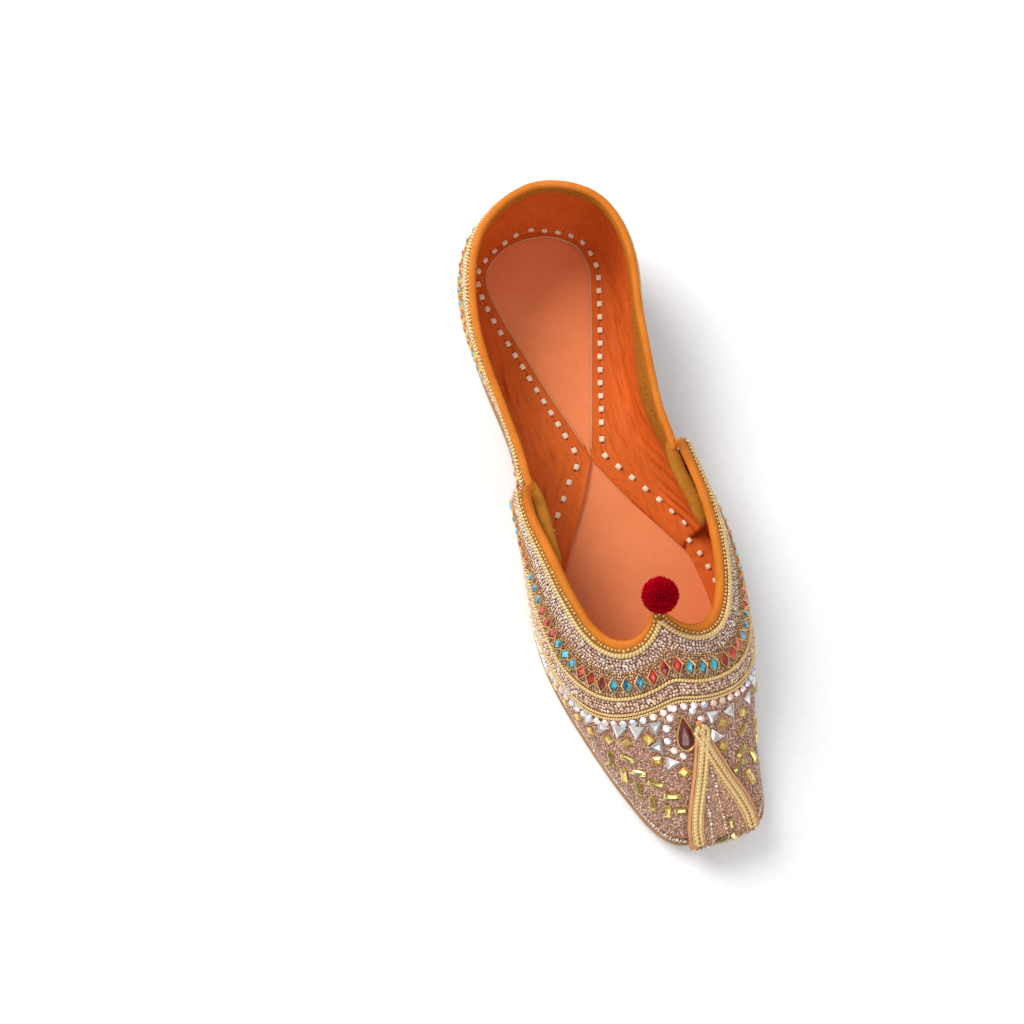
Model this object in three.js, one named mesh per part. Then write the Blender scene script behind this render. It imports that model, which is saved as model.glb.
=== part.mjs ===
// One mojari: a flat leather slip-on with a hollow wrapped vamp, a separate counter whose
// front ends tuck inside the vamp's wings, rolled bindings, a turned-back toe flap and a pompom.
// Millimetres, +Z up, toe towards -Y. Stations run from the back of the heel (0) to the toe.
import * as THREE from 'three';

// ---- driving dimensions ----
const SOLE_LENGTH = 256;
const SOLE_THICKNESS = 3;
const INSOLE_THICKNESS = 2.5;
const VAMP_WALL = 2.2;
const COUNTER_WALL = 2.0;
const GAP = 0.3;
const FEATHER_MARGIN = 2;        // how far the outsole edge shows past the upper
const BINDING_HALF_WIDTH = 2.1;
const BINDING_HALF_HEIGHT = 1.6;
const FLAP_THICKNESS = 2.4;
const POMPOM_RADIUS = 6.5;
const POMPOM_STATION = 166.6;
const COUNTER_FRONT = 142;       // station where the counter's front ends are cut
const WING_REAR_BOTTOM = 112;    // station where the vamp's wings meet the sole
const TUCK_START = 84;           // station where the counter starts to pass inside the wings
const TUCK_CLEARANCE = 2.4;      // room between the counter's wall and the vamp's lining
const SWAY_HEIGHT = 40;          // height over which the sideways sway is measured

// Half outline of the outsole, and how far its middle lies towards +X.
const SOLE_SECTIONS = [
  { station: 0, half: 0, middle: 2.4 },
  { station: 1.6, half: 9, middle: 2.4 },
  { station: 6, half: 18, middle: 2.4 },
  { station: 13, half: 25.5, middle: 2.1 },
  { station: 24, half: 30.4, middle: 1.4 },
  { station: 40, half: 31.8, middle: 0.4 },
  { station: 62, half: 29.8, middle: -0.9 },
  { station: 90, half: 27.4, middle: -1.3 },
  { station: 115, half: 30, middle: -1 },
  { station: 140, half: 36.5, middle: -0.6 },
  { station: 158, half: 39.6, middle: -0.6 },
  { station: 174, half: 40, middle: -0.6 },
  { station: 190, half: 38, middle: -0.2 },
  { station: 207, half: 33.8, middle: 0 },
  { station: 222, half: 29.6, middle: 0.4 },
  { station: 235, half: 26, middle: 1.6 },
  { station: 244, half: 23.2, middle: 2.6 },
  { station: 250, half: 20.4, middle: 3.6 },
  { station: 254, half: 16.5, middle: 4.8 },
  { station: 255.6, half: 9, middle: 5.2 },
  { station: SOLE_LENGTH, half: 0, middle: 5.2 },
];

// Underside of the outsole: flat heel, low arch, flat forefoot, toe spring.
const BOTTOM_PROFILE = [
  { station: 0, rise: 0 },
  { station: 62, rise: 0 },
  { station: 95, rise: 2.2 },
  { station: 128, rise: 0 },
  { station: 204, rise: 0 },
  { station: 228, rise: 1 },
  { station: 244, rise: 2.4 },
  { station: SOLE_LENGTH, rise: 4 },
];

// Sideways lean of the upper above the sole.
const SWAY = [
  { station: 0, shift: 1.8 },
  { station: 30, shift: 1.4 },
  { station: 60, shift: 0 },
  { station: 110, shift: 0.2 },
  { station: 150, shift: 2 },
  { station: 185, shift: 2 },
  { station: 215, shift: 0.4 },
  { station: SOLE_LENGTH, shift: 0 },
];

// Cross sections of the last under the vamp: crown height, how square the shoulder is,
// how far the wall bellies past the feather edge, and how high the belly sits.
const VAMP_SECTIONS = [
  { station: 108, crown: 66, shoulder: 1.2, belly: 17.5, lift: 0.42 },
  { station: 125, crown: 62, shoulder: 1.1, belly: 13.5, lift: 0.42 },
  { station: 145, crown: 57, shoulder: 0.96, belly: 9, lift: 0.42 },
  { station: 160, crown: 52.5, shoulder: 0.86, belly: 8.5, lift: 0.42 },
  { station: 171, crown: 48.6, shoulder: 0.76, belly: 8.5, lift: 0.42 },
  { station: 182, crown: 44.8, shoulder: 0.72, belly: 8, lift: 0.42 },
  { station: 198, crown: 38.4, shoulder: 0.7, belly: 6.5, lift: 0.44 },
  { station: 215, crown: 31, shoulder: 0.68, belly: 5, lift: 0.46 },
  { station: 230, crown: 24.4, shoulder: 0.68, belly: 3.6, lift: 0.5 },
  { station: 242, crown: 19.2, shoulder: 0.68, belly: 2.4, lift: 0.52 },
  { station: 249, crown: 15.6, shoulder: 0.68, belly: 1.4, lift: 0.54 },
  { station: 253, crown: 12.4, shoulder: 0.66, belly: 0.8, lift: 0.55 },
  { station: SOLE_LENGTH, crown: 7.3, shoulder: 0.66, belly: 0, lift: 0.55 },
];

// Throat edge of the vamp, from a wing tip round one lobe to the peak between the lobes. Both lobes
// lean towards +X by lean, and the lobe on the +X side lies farther forward by drop.
const THROAT = [
  { station: 111.4, half: 30.8, lean: -0.4, drop: 0 },
  { station: 115, half: 32.3, lean: -0.4, drop: 0 },
  { station: 124, half: 33.1, lean: -0.3, drop: 0 },
  { station: 133, half: 32.7, lean: -0.2, drop: 0 },
  { station: 143, half: 31.8, lean: -0.1, drop: 0 },
  { station: 153, half: 30.4, lean: 0, drop: 0.3 },
  { station: 162, half: 28.4, lean: 0.2, drop: 0.8 },
  { station: 169.4, half: 26, lean: 0.3, drop: 1.2 },
  { station: 175.6, half: 22.4, lean: 0.3, drop: 1.4 },
  { station: 179.4, half: 17.9, lean: 0.2, drop: 1.4 },
  { station: 180.4, half: 12.8, lean: 0, drop: 1.3 },
  { station: 178.8, half: 8, lean: -0.4, drop: 1 },
  { station: 175.4, half: 4, lean: -0.8, drop: 0.5 },
  { station: 171.8, half: 1.5, lean: -1.1, drop: 0.2 },
  { station: 171.2, half: 0, lean: -1.2, drop: 0 },
];

// The counter: height of its collar, flare of the collar past the feather edge, belly of the wall.
const COUNTER_SECTIONS = [
  { station: 0, height: 50.6, flare: -0.6, belly: 2.8 },
  { station: 10, height: 50, flare: 0, belly: 3.4 },
  { station: 25, height: 48.2, flare: 1.1, belly: 3.6 },
  { station: 42, height: 45.2, flare: 2.8, belly: 2.6 },
  { station: 62, height: 41.8, flare: 3.8, belly: 0.9 },
  { station: 80, height: 39.4, flare: 4.2, belly: -0.4 },
  { station: 96, height: 37.8, flare: 3.8, belly: 0.2 },
  { station: 110, height: 36.8, flare: 2, belly: 2 },
  { station: 126, height: 36, flare: -1.2, belly: 3 },
  { station: COUNTER_FRONT, height: 35.4, flare: -3.8, belly: 3 },
];

// How far the insole stands inside the outsole's outline.
const INSOLE_INSET = [
  { station: 0, inset: 4.7 },
  { station: 78, inset: 4.7 },
  { station: 94, inset: 8 },
  { station: 106, inset: 9.3 },
  { station: 143, inset: 9.3 },
  { station: 154, inset: 5 },
  { station: 215, inset: 5.2 },
  { station: 240, inset: 7.5 },
  { station: SOLE_LENGTH, inset: 10 },
];

// Toe flap, from its root on the outsole's front edge over the toe to its tip on the vamp.
const FLAP_MIDDLE = 5;
// How far the flap's front corner on the wearer's left stands back.
const FLAP_SKEW = 1.5;
const FLAP_SECTIONS = [
  { station: 255.2, height: 8.6, half: 13.5, droop: 0 },
  { station: 255.7, height: 12, half: 13.7, droop: 0 },
  { station: 254, height: 15.4, half: 13.8, droop: 0.3 },
  { station: 249.6, height: 18, half: 13.4, droop: 0.6 },
  { station: 242.6, height: 21.2, half: 11.4, droop: 0.8 },
  { station: 234, height: 25, half: 8, droop: 0.8 },
  { station: 225, height: 28.8, half: 4.8, droop: 0.5 },
  { station: 216.5, height: 32.4, half: 2.3, droop: 0.2 },
  { station: 212.6, height: 34.1, half: 0.9, droop: 0.1 },
];

// Mesh densities.
const OUTLINE_STEPS = 64;
const VAMP_STEPS = { along: 68, down: 12 };
const COUNTER_STEPS = { along: 56, down: 7 };
const FLAP_STEPS = { along: 20, across: 6 };
const BINDING_SIDES = 8;
const GIRTH_STEPS = 24;

const COLOURS = {
  leather_sole: 0xb98a5e,
  leather_insole: 0xdd7346,
  beaded_cloth: 0xc79a82,
  orange_binding: 0xc8691f,
  maroon_wool: 0x8c1030,
};

// ---- curves from tables ----

// Smooth interpolation of one column that never overshoots its rows.
function column(rows, name) {
  const xs = rows.map((row) => row.station);
  const ys = rows.map((row) => row[name]);
  const last = xs.length - 1;
  const slopes = xs.slice(1).map((x, i) => (ys[i + 1] - ys[i]) / (x - xs[i]));
  const tangents = ys.map((_, i) => {
    if (i === 0) return slopes[0];
    if (i === last) return slopes[last - 1];
    const [before, after] = [slopes[i - 1], slopes[i]];
    return before * after <= 0 ? 0 : (2 * before * after) / (before + after);
  });
  return (station) => {
    const x = THREE.MathUtils.clamp(station, xs[0], xs[last]);
    let i = 0;
    while (i < last - 1 && x > xs[i + 1]) i += 1;
    const span = xs[i + 1] - xs[i];
    const t = (x - xs[i]) / span;
    const startBlend = (1 + 2 * t) * (1 - t) ** 2;
    const endBlend = t * t * (3 - 2 * t);
    const bend = t * (1 - t) ** 2 * tangents[i] + t * t * (t - 1) * tangents[i + 1];
    return startBlend * ys[i] + endBlend * ys[i + 1] + bend * span;
  };
}

const middleAt = column(SOLE_SECTIONS, 'middle');
const riseAt = column(BOTTOM_PROFILE, 'rise');
const swayAt = column(SWAY, 'shift');
const crownAt = column(VAMP_SECTIONS, 'crown');
const shoulderAt = column(VAMP_SECTIONS, 'shoulder');
const bellyAt = column(VAMP_SECTIONS, 'belly');
const liftAt = column(VAMP_SECTIONS, 'lift');
const collarHeightAt = column(COUNTER_SECTIONS, 'height');
const flareAt = column(COUNTER_SECTIONS, 'flare');
const counterBellyAt = column(COUNTER_SECTIONS, 'belly');
const insoleInsetAt = column(INSOLE_INSET, 'inset');
const featherAt = (station) => riseAt(station) + SOLE_THICKNESS + GAP;

// The whole sole outline as one closed curve in (station, half) that is even about half = 0.
const outline = (() => {
  const side = SOLE_SECTIONS.map((row) => new THREE.Vector3(row.station, row.half, 0));
  const other = side.slice(1, -1).reverse().map((p) => new THREE.Vector3(p.x, -p.y, 0));
  const curve = new THREE.CatmullRomCurve3([...side, ...other], true, 'centripetal');
  curve.arcLengthDivisions = 4000;
  return curve;
})();

// Point of the half outline at share 0 (heel) to 1 (toe), moved inwards by inset.
function edgePoint(share, inset) {
  const point = outline.getPointAt(share / 2);
  const tangent = outline.getTangentAt(share / 2);
  const end = share <= 0 || share >= 1;
  return {
    station: point.x + tangent.y * inset,
    half: end ? 0 : Math.max(0, point.y - tangent.x * inset),
  };
}

// Share of the half outline at which a station is reached.
function shareAt(station) {
  let [low, high] = [0, 1];
  for (let i = 0; i < 40; i += 1) {
    const mid = (low + high) / 2;
    if (outline.getPointAt(mid / 2).x < station) low = mid;
    else high = mid;
  }
  return (low + high) / 2;
}

// A point of the shoe from its station, its distance from the middle line and its height.
function place(station, across, height) {
  const sway = (swayAt(station) * (height - featherAt(station))) / SWAY_HEIGHT;
  return new THREE.Vector3(middleAt(station) + across + sway, -station, height);
}

// ---- solids from grids of points ----

// Closed body from triangles of points: equal points are joined and empty triangles dropped.
function bodyFromTriangles(triangles) {
  const keys = new Map();
  const positions = [];
  const index = [];
  const vertex = (p) => {
    const key = `${p.x.toFixed(3)},${p.y.toFixed(3)},${p.z.toFixed(3)}`;
    if (!keys.has(key)) {
      keys.set(key, positions.length / 3);
      positions.push(p.x, p.y, p.z);
    }
    return keys.get(key);
  };
  let volume = 0;
  for (const corners of triangles) {
    const [a, b, c] = corners.map(vertex);
    if (a === b || b === c || c === a) continue;
    index.push(a, b, c);
    volume += corners[0].dot(corners[1].clone().cross(corners[2]));
  }
  if (volume < 0) index.reverse();
  const geometry = new THREE.BufferGeometry();
  geometry.setAttribute('position', new THREE.Float32BufferAttribute(positions, 3));
  geometry.setIndex(index);
  geometry.computeVertexNormals();
  return geometry;
}

function quad(a, b, c, d) {
  return [[a, b, c], [a, c, d]];
}

// Solid between two grids of the same size, closed round its four rims.
function wallSolid(outer, inner) {
  const rows = outer.length - 1;
  const columns = outer[0].length - 1;
  const triangles = [];
  for (let i = 0; i < rows; i += 1) {
    for (let j = 0; j < columns; j += 1) {
      triangles.push(...quad(outer[i][j], outer[i + 1][j], outer[i + 1][j + 1], outer[i][j + 1]));
      triangles.push(...quad(inner[i][j], inner[i][j + 1], inner[i + 1][j + 1], inner[i + 1][j]));
    }
    for (const [j, turn] of [[0, false], [columns, true]]) {
      const rim = [outer[i][j], inner[i][j], inner[i + 1][j], outer[i + 1][j]];
      triangles.push(...quad(...(turn ? rim.reverse() : rim)));
    }
  }
  for (let j = 0; j < columns; j += 1) {
    for (const [i, turn] of [[0, true], [rows, false]]) {
      const rim = [outer[i][j], inner[i][j], inner[i][j + 1], outer[i][j + 1]];
      triangles.push(...quad(...(turn ? rim.reverse() : rim)));
    }
  }
  return bodyFromTriangles(triangles);
}

// Solid through a row of rings with the same number of points, capped at both ends.
function ringSolid(rings) {
  const triangles = [];
  const sides = rings[0].length;
  for (let i = 0; i + 1 < rings.length; i += 1) {
    for (let j = 0; j < sides; j += 1) {
      const k = (j + 1) % sides;
      triangles.push(...quad(rings[i][j], rings[i][k], rings[i + 1][k], rings[i + 1][j]));
    }
  }
  const first = rings[0];
  const last = rings[rings.length - 1];
  for (let j = 1; j + 1 < sides; j += 1) {
    triangles.push([first[0], first[j + 1], first[j]]);
    triangles.push([last[0], last[j], last[j + 1]]);
  }
  return bodyFromTriangles(triangles);
}

// ---- sole and insole ----

// Flat-lying plate inside the sole outline, its top and bottom following the sole's own curve.
function plate(insetAt, lift, thickness) {
  const rings = [];
  for (let i = 0; i <= OUTLINE_STEPS; i += 1) {
    const share = 0.5 - 0.5 * Math.cos((Math.PI * i) / OUTLINE_STEPS);
    const even = 0.35 * share + (0.65 * i) / OUTLINE_STEPS;
    const inset = insetAt(outline.getPointAt(even / 2).x);
    const edge = edgePoint(even, inset);
    const bottom = riseAt(edge.station) + lift;
    const middle = middleAt(edge.station);
    const corner = (side, height) => new THREE.Vector3(middle + side * edge.half, -edge.station, height);
    rings.push([
      corner(-1, bottom), corner(1, bottom), corner(1, bottom + thickness), corner(-1, bottom + thickness),
    ]);
  }
  return ringSolid(rings);
}

// ---- vamp ----

// Half section of the last: from the crown (t = 0) down to the feather edge (t = 1).
function halfSection(share, t, inset) {
  const edge = edgePoint(share, FEATHER_MARGIN + inset);
  const station = edge.station;
  const feather = featherAt(station);
  const crown = Math.max(feather, crownAt(station) - inset * 1.1);
  const shape = new THREE.CubicBezierCurve(
    new THREE.Vector2(0, crown),
    new THREE.Vector2(edge.half * shoulderAt(station), crown),
    new THREE.Vector2(edge.half + bellyAt(station), feather + (crown - feather) * liftAt(station)),
    new THREE.Vector2(edge.half, feather),
  );
  const point = shape.getPoint(t);
  return { station, across: point.x, height: point.y };
}

function vampPoint(share, f, inset) {
  const point = halfSection(share, Math.abs(f), inset);
  return place(point.station, Math.sign(f) * point.across, point.height);
}

// Section parameter at which the outer surface stands a given distance from the middle line.
function sectionParameter(share, across) {
  let [low, high] = [0, 0.75];
  for (let i = 0; i < 40; i += 1) {
    const mid = (low + high) / 2;
    if (halfSection(share, mid, 0).across < across) low = mid;
    else high = mid;
  }
  return (low + high) / 2;
}

// Half girths of the last, outwards from its crown, at even steps of the section parameter.
function girths(share) {
  const lengths = [0];
  let before = halfSection(share, 0, 0);
  for (let i = 1; i <= GIRTH_STEPS; i += 1) {
    const point = halfSection(share, i / GIRTH_STEPS, 0);
    lengths.push(lengths[i - 1] + Math.hypot(point.across - before.across, point.height - before.height));
    before = point;
  }
  return lengths;
}

function girthAt(share, t) {
  const lengths = girths(share);
  const i = Math.min(GIRTH_STEPS - 1, Math.floor(t * GIRTH_STEPS));
  return THREE.MathUtils.lerp(lengths[i], lengths[i + 1], t * GIRTH_STEPS - i);
}

function parameterAtGirth(share, girth) {
  const lengths = girths(share);
  let i = 0;
  while (i < GIRTH_STEPS - 1 && lengths[i + 1] < girth) i += 1;
  const span = Math.max(1e-6, lengths[i + 1] - lengths[i]);
  return Math.min(1, (i + (girth - lengths[i]) / span) / GIRTH_STEPS);
}

// Throat edge in (share, f), s = 0 at one wing tip, 0.5 at the peak, 1 at the other tip.
const throatAt = (() => {
  const side = THROAT.map((row) => new THREE.Vector3(row.station, row.lean - row.half, 0));
  const other = THROAT.slice(0, -1).reverse().map(
    (row) => new THREE.Vector3(row.station + row.drop, row.lean + row.half, 0),
  );
  const curve = new THREE.CatmullRomCurve3([...side, ...other], false, 'centripetal');
  curve.arcLengthDivisions = 4000;
  return (s) => {
    const point = curve.getPointAt(s);
    const share = shareAt(point.x);
    return { share, f: Math.sign(point.y) * sectionParameter(share, Math.abs(point.y)) };
  };
})();

// Row of the vamp at s, from the throat edge to the feather edge, straight on the unrolled vamp.
// A girth is negative on the -X side of the crown.
function vampRow(s, inset, steps) {
  const throat = throatAt(s);
  const footSide = Math.sign(s - 0.5);
  const along = 1 - Math.abs(2 * s - 1);
  const footShare = THREE.MathUtils.lerp(shareAt(WING_REAR_BOTTOM), 1, along);
  const throatGirth = Math.sign(throat.f) * girthAt(throat.share, Math.abs(throat.f));
  const footGirth = footSide * girthAt(footShare, 1);
  const row = [];
  for (let j = 0; j <= steps; j += 1) {
    const v = j / steps;
    const share = THREE.MathUtils.lerp(throat.share, footShare, v);
    const girth = THREE.MathUtils.lerp(throatGirth, footGirth, v);
    const t = Math.sign(girth) * parameterAtGirth(share, Math.abs(girth));
    row.push(vampPoint(share, j === steps ? footSide : t, inset));
  }
  return row;
}

function vampGrid(inset) {
  const rows = [];
  for (let i = 0; i <= VAMP_STEPS.along; i += 1) {
    rows.push(vampRow(i / VAMP_STEPS.along, inset, VAMP_STEPS.down));
  }
  return rows;
}

// Half width of the vamp's inner face at a station and height.
function vampInside(share, height) {
  let [low, high] = [0, 1];
  for (let i = 0; i < 40; i += 1) {
    const mid = (low + high) / 2;
    if (halfSection(share, mid, VAMP_WALL).height > height) low = mid;
    else high = mid;
  }
  return halfSection(share, (low + high) / 2, VAMP_WALL).across;
}

// ---- counter ----

// Point of the counter at s (0 and 1 are its two front ends), v up the wall from the feather edge.
function counterPoint(s, v, inset) {
  const side = s < 0.5 ? -1 : 1;
  const share = Math.abs(2 * s - 1) * shareAt(COUNTER_FRONT);
  const nominal = outline.getPointAt(share / 2).x;
  const feather = featherAt(nominal);
  const height = THREE.MathUtils.lerp(feather, collarHeightAt(nominal), v);
  const outwards = flareAt(nominal) * v + counterBellyAt(nominal) * 4 * v * (1 - v);
  const edge = edgePoint(share, FEATHER_MARGIN + inset - outwards);
  const inside = vampInside(shareAt(edge.station), height) - TUCK_CLEARANCE - inset;
  const tucked = THREE.MathUtils.smoothstep(nominal, TUCK_START, WING_REAR_BOTTOM - 1);
  const half = THREE.MathUtils.lerp(edge.half, Math.min(edge.half, inside), tucked);
  return place(edge.station, s === 0.5 ? 0 : side * half, height);
}

function counterGrid(inset) {
  const rows = [];
  for (let i = 0; i <= COUNTER_STEPS.along; i += 1) {
    const row = [];
    for (let j = 0; j <= COUNTER_STEPS.down; j += 1) {
      row.push(counterPoint(i / COUNTER_STEPS.along, j / COUNTER_STEPS.down, inset));
    }
    rows.push(row);
  }
  return rows;
}

// ---- bindings ----

// Rolled leather strip sitting on the rim of a wall: rim and body are rows of points on the
// wall's edge and just below it, for the outer and the inner face.
function bindingSolid(rims) {
  const rings = rims.map(({ outer, inner, below }) => {
    const middle = outer.clone().add(inner).multiplyScalar(0.5);
    const across = outer.clone().sub(inner).normalize();
    const away = middle.clone().sub(below);
    away.addScaledVector(across, -away.dot(across)).normalize();
    const centre = middle.clone().addScaledVector(away, GAP + BINDING_HALF_HEIGHT);
    return Array.from({ length: BINDING_SIDES }, (_, k) => {
      const angle = (2 * Math.PI * (k + 0.5)) / BINDING_SIDES;
      return centre.clone()
        .addScaledVector(across, BINDING_HALF_WIDTH * Math.cos(angle))
        .addScaledVector(away, BINDING_HALF_HEIGHT * Math.sin(angle));
    });
  });
  return ringSolid(rings);
}

function middleOf(a, b) {
  return a.clone().add(b).multiplyScalar(0.5);
}

function vampBinding() {
  const outer = vampGrid(0);
  const inner = vampGrid(VAMP_WALL);
  return bindingSolid(outer.map((row, i) => ({
    outer: row[0], inner: inner[i][0], below: middleOf(row[1], inner[i][1]),
  })));
}

function counterBinding() {
  const outer = counterGrid(0);
  const inner = counterGrid(COUNTER_WALL);
  const top = COUNTER_STEPS.down;
  return bindingSolid(outer.map((row, i) => ({
    outer: row[top], inner: inner[i][top], below: middleOf(row[top - 1], inner[i][top - 1]),
  })));
}

// ---- toe flap ----

function flapGrid(side) {
  const path = new THREE.CatmullRomCurve3(
    FLAP_SECTIONS.map((row) => new THREE.Vector3(row.station, row.height, 0)), false, 'centripetal',
  );
  const widths = new THREE.CatmullRomCurve3(
    FLAP_SECTIONS.map((row) => new THREE.Vector3(row.half, row.droop, 0)), false, 'centripetal',
  );
  const rows = [];
  for (let i = 0; i <= FLAP_STEPS.along; i += 1) {
    const t = i / FLAP_STEPS.along;
    const point = path.getPoint(t);
    const tangent = path.getTangent(t);
    const shape = widths.getPoint(t);
    const outwards = new THREE.Vector2(tangent.y, -tangent.x).multiplyScalar((side * FLAP_THICKNESS) / 2);
    const row = [];
    for (let j = 0; j <= FLAP_STEPS.across; j += 1) {
      const b = (2 * j) / FLAP_STEPS.across - 1;
      row.push(new THREE.Vector3(
        FLAP_MIDDLE + b * shape.x,
        FLAP_SKEW * Math.max(0, b) ** 2 * (shape.x / FLAP_SECTIONS[0].half) - (point.x + outwards.x),
        point.y + outwards.y - shape.y * b * b,
      ));
    }
    rows.push(row);
  }
  return rows;
}

// ---- pompom ----

function pompomMesh(material) {
  const mesh = new THREE.Mesh(new THREE.SphereGeometry(POMPOM_RADIUS, 20, 12), material);
  const share = shareAt(POMPOM_STATION);
  const crown = vampPoint(share, 0, 0);
  mesh.position.set(crown.x, crown.y, crown.z + POMPOM_RADIUS + GAP);
  return mesh;
}

// ---- assembly ----

function leather(colour, roughness) {
  return new THREE.MeshStandardMaterial({ color: colour, roughness, metalness: 0 });
}

function named(name, mesh) {
  mesh.name = name;
  return mesh;
}

const shoe = new THREE.Group();
shoe.add(
  named('outsole', new THREE.Mesh(plate(() => 0, 0, SOLE_THICKNESS), leather(COLOURS.leather_sole, 0.6))),
  named('insole', new THREE.Mesh(
    plate(insoleInsetAt, SOLE_THICKNESS + GAP, INSOLE_THICKNESS), leather(COLOURS.leather_insole, 0.5),
  )),
  named('vamp', new THREE.Mesh(
    wallSolid(vampGrid(0), vampGrid(VAMP_WALL)), leather(COLOURS.beaded_cloth, 0.55),
  )),
  named('counter', new THREE.Mesh(
    wallSolid(counterGrid(0), counterGrid(COUNTER_WALL)), leather(COLOURS.beaded_cloth, 0.55),
  )),
  named('vamp_binding', new THREE.Mesh(vampBinding(), leather(COLOURS.orange_binding, 0.45))),
  named('counter_binding', new THREE.Mesh(counterBinding(), leather(COLOURS.orange_binding, 0.45))),
  named('toe_flap', new THREE.Mesh(wallSolid(flapGrid(1), flapGrid(-1)), leather(COLOURS.beaded_cloth, 0.55))),
  named('pompom', pompomMesh(leather(COLOURS.maroon_wool, 0.95))),
);

// The origin stands under the middle of the shoe's box, on the floor.
shoe.updateMatrixWorld(true);
const box = new THREE.Box3().setFromObject(shoe);
const centre = box.getCenter(new THREE.Vector3());
shoe.position.set(-centre.x, -centre.y, -box.min.z);
shoe.updateMatrixWorld(true);

export default shoe;
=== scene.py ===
"""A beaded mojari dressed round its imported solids.

Sizes are in millimetres until a mesh is made. Stations run from the back of the heel to the toe.
"""
import logging
import math
from dataclasses import dataclass, field
from enum import Enum
from typing import Callable, NamedTuple, Sequence

import bmesh
import bpy
import numpy as np
from mathutils import Matrix, Vector


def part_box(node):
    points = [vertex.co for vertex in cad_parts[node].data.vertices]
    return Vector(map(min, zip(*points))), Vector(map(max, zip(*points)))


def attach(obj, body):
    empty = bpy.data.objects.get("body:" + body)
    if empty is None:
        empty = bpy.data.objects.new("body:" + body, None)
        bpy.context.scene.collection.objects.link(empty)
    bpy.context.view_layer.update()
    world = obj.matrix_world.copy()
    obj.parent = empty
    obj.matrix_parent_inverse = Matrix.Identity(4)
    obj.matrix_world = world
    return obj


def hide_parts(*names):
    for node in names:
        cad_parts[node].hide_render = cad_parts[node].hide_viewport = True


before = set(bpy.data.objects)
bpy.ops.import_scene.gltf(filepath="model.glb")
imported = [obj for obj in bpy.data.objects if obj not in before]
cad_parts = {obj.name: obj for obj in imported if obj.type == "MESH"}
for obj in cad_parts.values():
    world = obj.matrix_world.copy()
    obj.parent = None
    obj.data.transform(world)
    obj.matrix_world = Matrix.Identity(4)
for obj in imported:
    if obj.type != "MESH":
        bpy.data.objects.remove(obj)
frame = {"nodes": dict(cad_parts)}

LOG = logging.getLogger("mojari")
MM = 0.001
ROOT = "root"
SEED = 11
Array = np.ndarray


# ---------------------------------------------------------------- shader graphs

class Sock:
    """A shader socket that answers to arithmetic: each operator adds a Math node."""

    def __init__(self, graph: "Graph", socket: bpy.types.NodeSocket) -> None:
        """Keeps the graph and the socket."""
        self.graph = graph
        self.socket = socket

    def _math(self, operation: str, *values: "Sock | float") -> "Sock":
        """Adds one Math node over the given values."""
        return self.graph.node("ShaderNodeMath", {"operation": operation}, dict(enumerate(values)))[0]

    def __add__(self, other: "Sock | float") -> "Sock":
        """Sum."""
        return self._math("ADD", self, other)

    __radd__ = __add__

    def __sub__(self, other: "Sock | float") -> "Sock":
        """Difference."""
        return self._math("SUBTRACT", self, other)

    def __rsub__(self, other: "Sock | float") -> "Sock":
        """Reflected difference."""
        return self._math("SUBTRACT", other, self)

    def __mul__(self, other: "Sock | float") -> "Sock":
        """Product."""
        return self._math("MULTIPLY", self, other)

    __rmul__ = __mul__

    def above(self, level: float) -> "Sock":
        """1 where the value is over the level."""
        return self._math("GREATER_THAN", self, level)

    def clamped(self) -> "Sock":
        """The value held between 0 and 1."""
        return self._math("MINIMUM", self._math("MAXIMUM", self, 0.0), 1.0)


Colour = tuple[float, float, float]
# Inputs of a Mix node that mixes colours.
MIX_FACTOR, MIX_FIRST, MIX_SECOND = 0, 6, 7


def rgba(colour: Colour) -> tuple[float, float, float, float]:
    """The colour with full alpha."""
    return (*colour, 1.0)


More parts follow.
